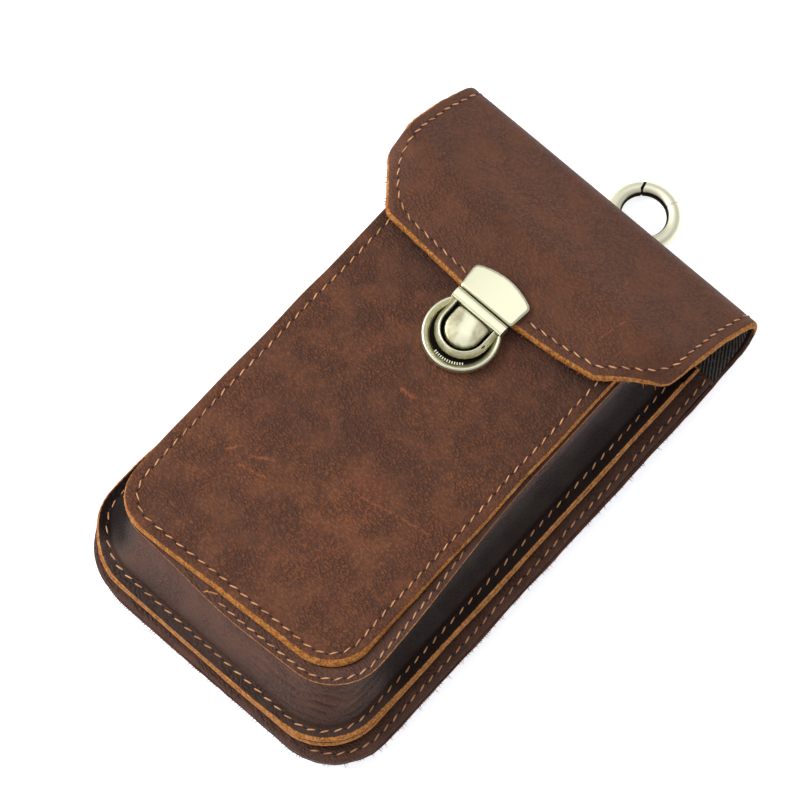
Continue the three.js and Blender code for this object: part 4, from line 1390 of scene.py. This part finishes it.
gap_turn = math.degrees(RING["gap"] / RING["radius"])
HINGE = on_ring(RING["hinge"], RING["radius"])
bm = new_brass()
nose, _ = wire(bm, RING["split"] + gap_turn / 2, 360 + RING["hinge"], 84)
nose_curve(nose, RING["split"])
bmesh.ops.inset_region(bm, faces=[nose], thickness=CATCH["inset"])
catch = {tuple(v.co) for v in nose.verts}
bmesh.ops.inset_region(bm, faces=[nose], thickness=CATCH["wall"])
forward = (on_ring(RING["split"] - 1, 1) - on_ring(RING["split"] + 1, 1)).normalized()
bmesh.ops.translate(bm, verts=nose.verts[:], vec=forward * CATCH["reach"])
catch |= {tuple(v.co) for v in nose.verts}
ball = Matrix.Translation(HINGE)
bmesh.ops.create_uvsphere(bm, u_segments=24, v_segments=14, radius=RING["wire"], matrix=ball)
bmesh.ops.recalc_face_normals(bm, faces=bm.faces[:])


# Painted shade: the inner face and the underside of the wire are painted dark
def ring_shade(place):
    spoke = place - RING_CENTRE
    inner = smooth_step(RING["radius"] - 1.3, RING["radius"] - 1.9, spoke.length)
    under = smooth_step(-0.4, -1.6, spoke.dot(RING_AXIS))
    return max(inner, 0.5 * under)


# Painted shade: the catch in the split is painted dark, as the shade in the narrow gap
set_recess(bm, lambda place: 1.0 if tuple(place) in catch else ring_shade(place))
finish_piece(bm, "ring_wire", [RING_BRASS], ["ring"], body="ring")

bm = new_brass()
SOCKET = RING["wire"] + 0.25
socket, nose = wire(bm, RING["hinge"] + 5.0, RING["split"] - gap_turn / 2, 24)
nose_curve(nose, RING["split"])
hollow = bmesh.ops.poke(bm, faces=[socket])["verts"][0]
hollow.co = HINGE + (hollow.co - HINGE).normalized() * SOCKET
bmesh.ops.recalc_face_normals(bm, faces=bm.faces[:])
set_recess(bm, ring_shade)
finish_piece(bm, "gate_wire", [RING_BRASS], ["ring_gate"], body="gate")

# %% [markdown]
# ## The stitches
# Thick tan thread sews every layer. A machine seam is a row of short, slightly slanted dashes that
# dip into needle holes, which are small dark ellipsoids: painted shade where each hole is. Each row
# starts as a flat line inside its pattern's edge, is walked in equal steps and is laid in the bag the
# way its leather was. Thousands of small meshes would be slow, so a whole row is one mesh.

# %% Thread and needle holes
THREAD_TAN = (0.76, 0.39, 0.185, 1)
THREAD_DARK = (0.44, 0.18, 0.07, 1)
# Painted shade: the colours of the dark needle holes
HOLE_BLACK = (0.006, 0.004, 0.003, 1)
HOLE_BROWN = (0.030, 0.014, 0.008, 1)


def thread_finish():
    material, shader, base = start_finish("tan_thread")
    place = in_millimetres(base)
    wear = cloud(base, place, 5, detail=3).step(0.35, 0.65)
    twist = cloud(base, place, 0.3, detail=2)
    feed(shader, "Base Color", (wear * 0.8 + twist * 0.3).mix(THREAD_DARK, THREAD_TAN))
    feed(shader, "Roughness", 0.55 + twist * 0.2)
    feed_bump(shader, twist, strength=0.5, depth=0.1)
    return material


def hole_finish():
    material, shader, base = start_finish("needle_hole")
    painted_shade = cloud(base, in_millimetres(base), 0.8)
    feed(shader, "Base Color", painted_shade.mix(HOLE_BLACK, HOLE_BROWN))
    shader.inputs["Roughness"].default_value = 0.9
    return material


THREAD = thread_finish()
NEEDLE_HOLE = hole_finish()


# %% Sewing a row
def walk_line(line, pitch):
    """Even steps along a flat line: (place, direction)."""
    steps = []
    carry = pitch / 2
    for start, end in zip(line, line[1:]):
        span = (end - start).length
        if span < 1e-6:
            continue
        ahead = (end - start) / span
        while carry < span:
            steps.append((start + ahead * carry, ahead))
            carry += pitch
        carry -= span
    return steps


STITCH = {"pitch": 3.9, "slant": 0.24, "sink": 0.12}
DASH = Matrix.Diagonal((0.26, 0.24, 1.28, 1))
PIT = Matrix.Diagonal((0.32, 0.14, 0.46, 1))


def sew(name, line, lay, up=1, lift=0.12, pitch=STITCH["pitch"], keep=None):
    """A row of dashes and needle holes along a flat line, on the leather's side that up points to."""
    bm = bmesh.new()
    pits = []
    for place, ahead in walk_line(line, pitch):
        if keep and not keep(place):
            continue
        aside = Vector((-ahead.y, ahead.x))
        lean = ahead + aside * STITCH["slant"] * (1 + 0.5 * ripple(place.x, place.y, 5, 2.0))
        along = (lay(*(place + lean * 0.2)) - lay(*(place - lean * 0.2))).normalized()
        across = (lay(*(place + aside * 0.2)) - lay(*(place - aside * 0.2))).normalized()
        normal = along.cross(across).normalized() * up
        turn = Matrix((normal.cross(along), normal, along)).transposed().to_4x4()
        dash = Matrix.Translation(lay(*place) + normal * lift) @ turn @ DASH
        bmesh.ops.create_uvsphere(bm, u_segments=6, v_segments=6, radius=1, matrix=dash)
        pit = Matrix.Translation(lay(*(place + ahead * pitch / 2)) + normal * (lift - STITCH["sink"]))
        pits.append(pit @ turn @ PIT)
    threads = len(bm.faces)
    for pit in pits:
        bmesh.ops.create_uvsphere(bm, u_segments=6, v_segments=4, radius=1, matrix=pit)
    bm.faces.ensure_lookup_table()
    for f in bm.faces[threads:]:
        f.material_index = 1
    finish_piece(bm, name, [THREAD, NEEDLE_HOLE])


def opened_at_top(line):
    """A closed line as an open one that runs down the left, along the bottom and up the right."""
    first = max(range(len(line)), key=lambda k: line[k].y - line[k].x)
    return line[first:] + line[:first]


# %% Rows on the front
FLANGE_TOP = level("front_gusset", 1)
FLANGE_ROW = {"inset": 1.7, "from_x": -4.5, "least": 2.6}
BASE_ROW = {"inset": 3.5, "top": 155.0}


def panel_row(sizes, inset):
    return opened_at_top(inset_line(*four_corners(sizes), inset))


def on_base(x, y):
    return Vector((x + flare(x, y), y, FRONT_LOW))


sew("stitch_front", panel_row(FRONT, FRONT_ROW), lay_front, lift=-0.02)

flange_row = []
for spot, out in front_upper:
    reach = flange_reach(*spot)
    if spot.x > FLANGE_ROW["from_x"] and reach > FLANGE_ROW["least"]:
        flange_row.append(spot + out * (reach - FLANGE_ROW["inset"]))
sew("stitch_flange", flange_row, lambda x, y: Vector((x, y, FLANGE_TOP)), lift=0.06, pitch=3.7)

base_row = panel_row(MIDDLE, BASE_ROW["inset"])
sew("stitch_base", base_row, on_base, lift=0.08, keep=lambda place: place.y < BASE_ROW["top"])

# %% Rows on the back and flap
BACK_ROW = {"inset": 2.8, "top": 167.0, "right": 56.2, "left": -54.9, "shows_from": 42.0}
row_end = BACK_ROW["top"] + BACK_ROW["inset"]
corners = back_corners[:3] + [(BACK_ROW["right"], row_end), (BACK_ROW["left"], row_end), back_corners[-1]]
back_row = opened_at_top(inset_line(corners, BACK["rounds"] + [0] * 4, BACK_ROW["inset"]))


def on_rear(x, y):
    return lay_hide(x, y) + Vector((0, 0, REAR_LOW))


sew("stitch_rear", back_row, on_rear, lift=0.08, keep=lambda place: place.x > BACK_ROW["shows_from"])
sew("stitch_back", back_row, lay_hide, up=-1, lift=0.1)


def flap_order(line):
    """The flap's part of the hide's inset line, from the right of the fold to its left."""
    right = [k for k in range(len(line)) if line[k].x >= 0]
    first = min(right, key=lambda k: abs(line[k].y - BACK["fold_start"]))
    return [spot for spot in line[first:] + line[:first] if spot.y > BACK["fold_start"] - 2]


def off_plate(place):
    beside = abs(place.x - LOCK.x) > PLATE["half_head"] + 0.8
    return place.y > BACK["fold_start"] + 13 and (beside or place.y < flat_place(LOCK.y + PLATE["crest"]))


flap_row = flap_order(inset_line(back_corners, hide_rounds(8.0), FLAP_ROW))
sew("stitch_flap", flap_row, lay_hide, up=-1, lift=-0.02, pitch=3.8, keep=off_plate)

# %% [markdown]
# ## Loose fibres
# A hand-cut hide frays. Short, thin cones lean out from the cut of the back and of the flap's foot.
# Each has only a few faces, because there are hundreds of them.


# %% Frayed edges
def fray(name, line, depth, step, bare, keep):
    """Thin cones that stand out from a cut edge at uneven angles, depth inwards from its middle."""
    bm = bmesh.new()
    raw = bm.verts.layers.float.new("raw")
    for number, (place, ahead) in enumerate(walk_line(line, step)):
        if not keep(place) or ripple(number * 0.61, 0.3, 1.0, 5.0) < -0.05:
            continue
        chance = ripple(number * 1.7, place.x, 1.0, 3.0)
        out = Vector((ahead.y, -ahead.x)) + ahead * 1.4 * chance
        root = lay_hide(*place, depth)
        way = (lay_hide(*(place + out * 0.2), depth) - root).normalized()
        long = 0.5 + 2.2 * abs(ripple(number * 2.3, 0.5, 1.0, 9.0))
        turn = way.to_track_quat("Z", "Y").to_matrix().to_4x4()
        spot = Matrix.Translation(root + way * long * 0.3) @ turn
        bmesh.ops.create_cone(bm, segments=3, radius1=0.17, radius2=0.03, depth=long, matrix=spot)
    for v in bm.verts:
        v[raw] = bare
    finish_piece(bm, name, [HIDE_FLAP])


rough_edge = inset_line(back_corners, back_rounds, 0.05)
rough_edge += rough_edge[:1]
fray(
    "back_fibres", rough_edge, depth=0.2, step=0.8, bare=0.3,
    keep=lambda place: place.y < 150,
)
fray(
    "flap_fibres", rough_edge, depth=-0.3, step=0.9, bare=0.8,
    keep=lambda place: place.y > flat_place(147),
)

# %% Rows on the loop and the tab
LOOP_INSET = 3.0
wide, end = LOOP["half_wide"] - LOOP_INSET, LOOP["sewn"] * 0.3
for name, place in (("low", end), ("high", loop_length - end)):
    line = [Vector((-wide, place)), Vector((wide, place))]
    sew("stitch_loop_" + name, line, lay_loop, up=-1, lift=0.1)
line = [Vector(corner) for corner in ((-2, 3), (2, 3), (2, 14), (-2, 14), (-2, 3))]
sew("stitch_tab", line, lay_tab, up=-1, lift=0.1, pitch=2.6)

# %% [markdown]
# ## The floor, the light and the camera
# The bag lies on a bright white table under a broad overhead light, with a second soft light on its
# left, so its shadow falls to the right. The camera looks steeply down from the lower right.

# %% Floor, light and camera
FLOOR_SHADES = ((0.90, 0.91, 0.93, 1), (0.92, 0.92, 0.93, 1))
bpy.context.scene.view_settings.view_transform = "Standard"
floor_finish, floor_shader, base = start_finish("white_table")
paper = cloud(base, in_millimetres(base), 60).step(0.3, 0.7)
feed(floor_shader, "Base Color", paper.mix(*FLOOR_SHADES))
floor_shader.inputs["Roughness"].default_value = 0.9
floor_shader.inputs["Emission Color"].default_value = (0.93, 0.96, 1.0, 1)
floor_shader.inputs["Emission Strength"].default_value = 0.68
bm = bmesh.new()
bmesh.ops.create_grid(bm, x_segments=1, y_segments=1, size=4.0)
floor_mesh = bpy.data.meshes.new("table")
bm.to_mesh(floor_mesh)
bm.free()
floor_mesh.materials.append(floor_finish)
table = bpy.data.objects.new("table", floor_mesh)
bpy.context.scene.collection.objects.link(table)


def soft_light(name, place, size, power):
    """A round lamp that looks at the bag."""
    lamp = bpy.data.lights.new(name, "AREA")
    lamp.shape = "DISK"
    lamp.size = size
    lamp.energy = power
    light = bpy.data.objects.new(name, lamp)
    light.location = place
    light.rotation_euler = (-Vector(place)).to_track_quat("-Z", "Y").to_euler()
    bpy.context.scene.collection.objects.link(light)


soft_light("overhead", (-0.13, 0.31, 1.42), size=0.9, power=2.3)
soft_light("left", (-1.05, -0.45, 0.95), size=1.1, power=17.5)
soft_light("front", (-0.25, -1.40, 0.30), size=0.7, power=2.0)
world = bpy.data.worlds.new("studio")
world.use_nodes = True
world.node_tree.nodes["Background"].inputs["Color"].default_value = (0.95, 0.97, 1.0, 1)
world.node_tree.nodes["Background"].inputs["Strength"].default_value = 0.52
bpy.context.scene.world = world

CAMERA = {"azimuth": 41.77, "elevation": 73.02, "distance": 1.2752, "lens": 193.5}
LOOK_AT = Vector((-0.009035, -0.001815, 0.0063))
turn, rise = math.radians(CAMERA["azimuth"]), math.radians(CAMERA["elevation"])
back = Vector((math.sin(turn) * math.cos(rise), -math.cos(turn) * math.cos(rise), math.sin(rise)))
lens = bpy.data.cameras.new("camera")
lens.lens = CAMERA["lens"]
lens.sensor_width = 36
lens.clip_start = 0.01
camera = bpy.data.objects.new("camera", lens)
camera.location = LOOK_AT + back * CAMERA["distance"]
camera.rotation_euler = (-back).to_track_quat("-Z", "Y").to_euler()
bpy.context.scene.collection.objects.link(camera)
bpy.context.scene.camera = camera
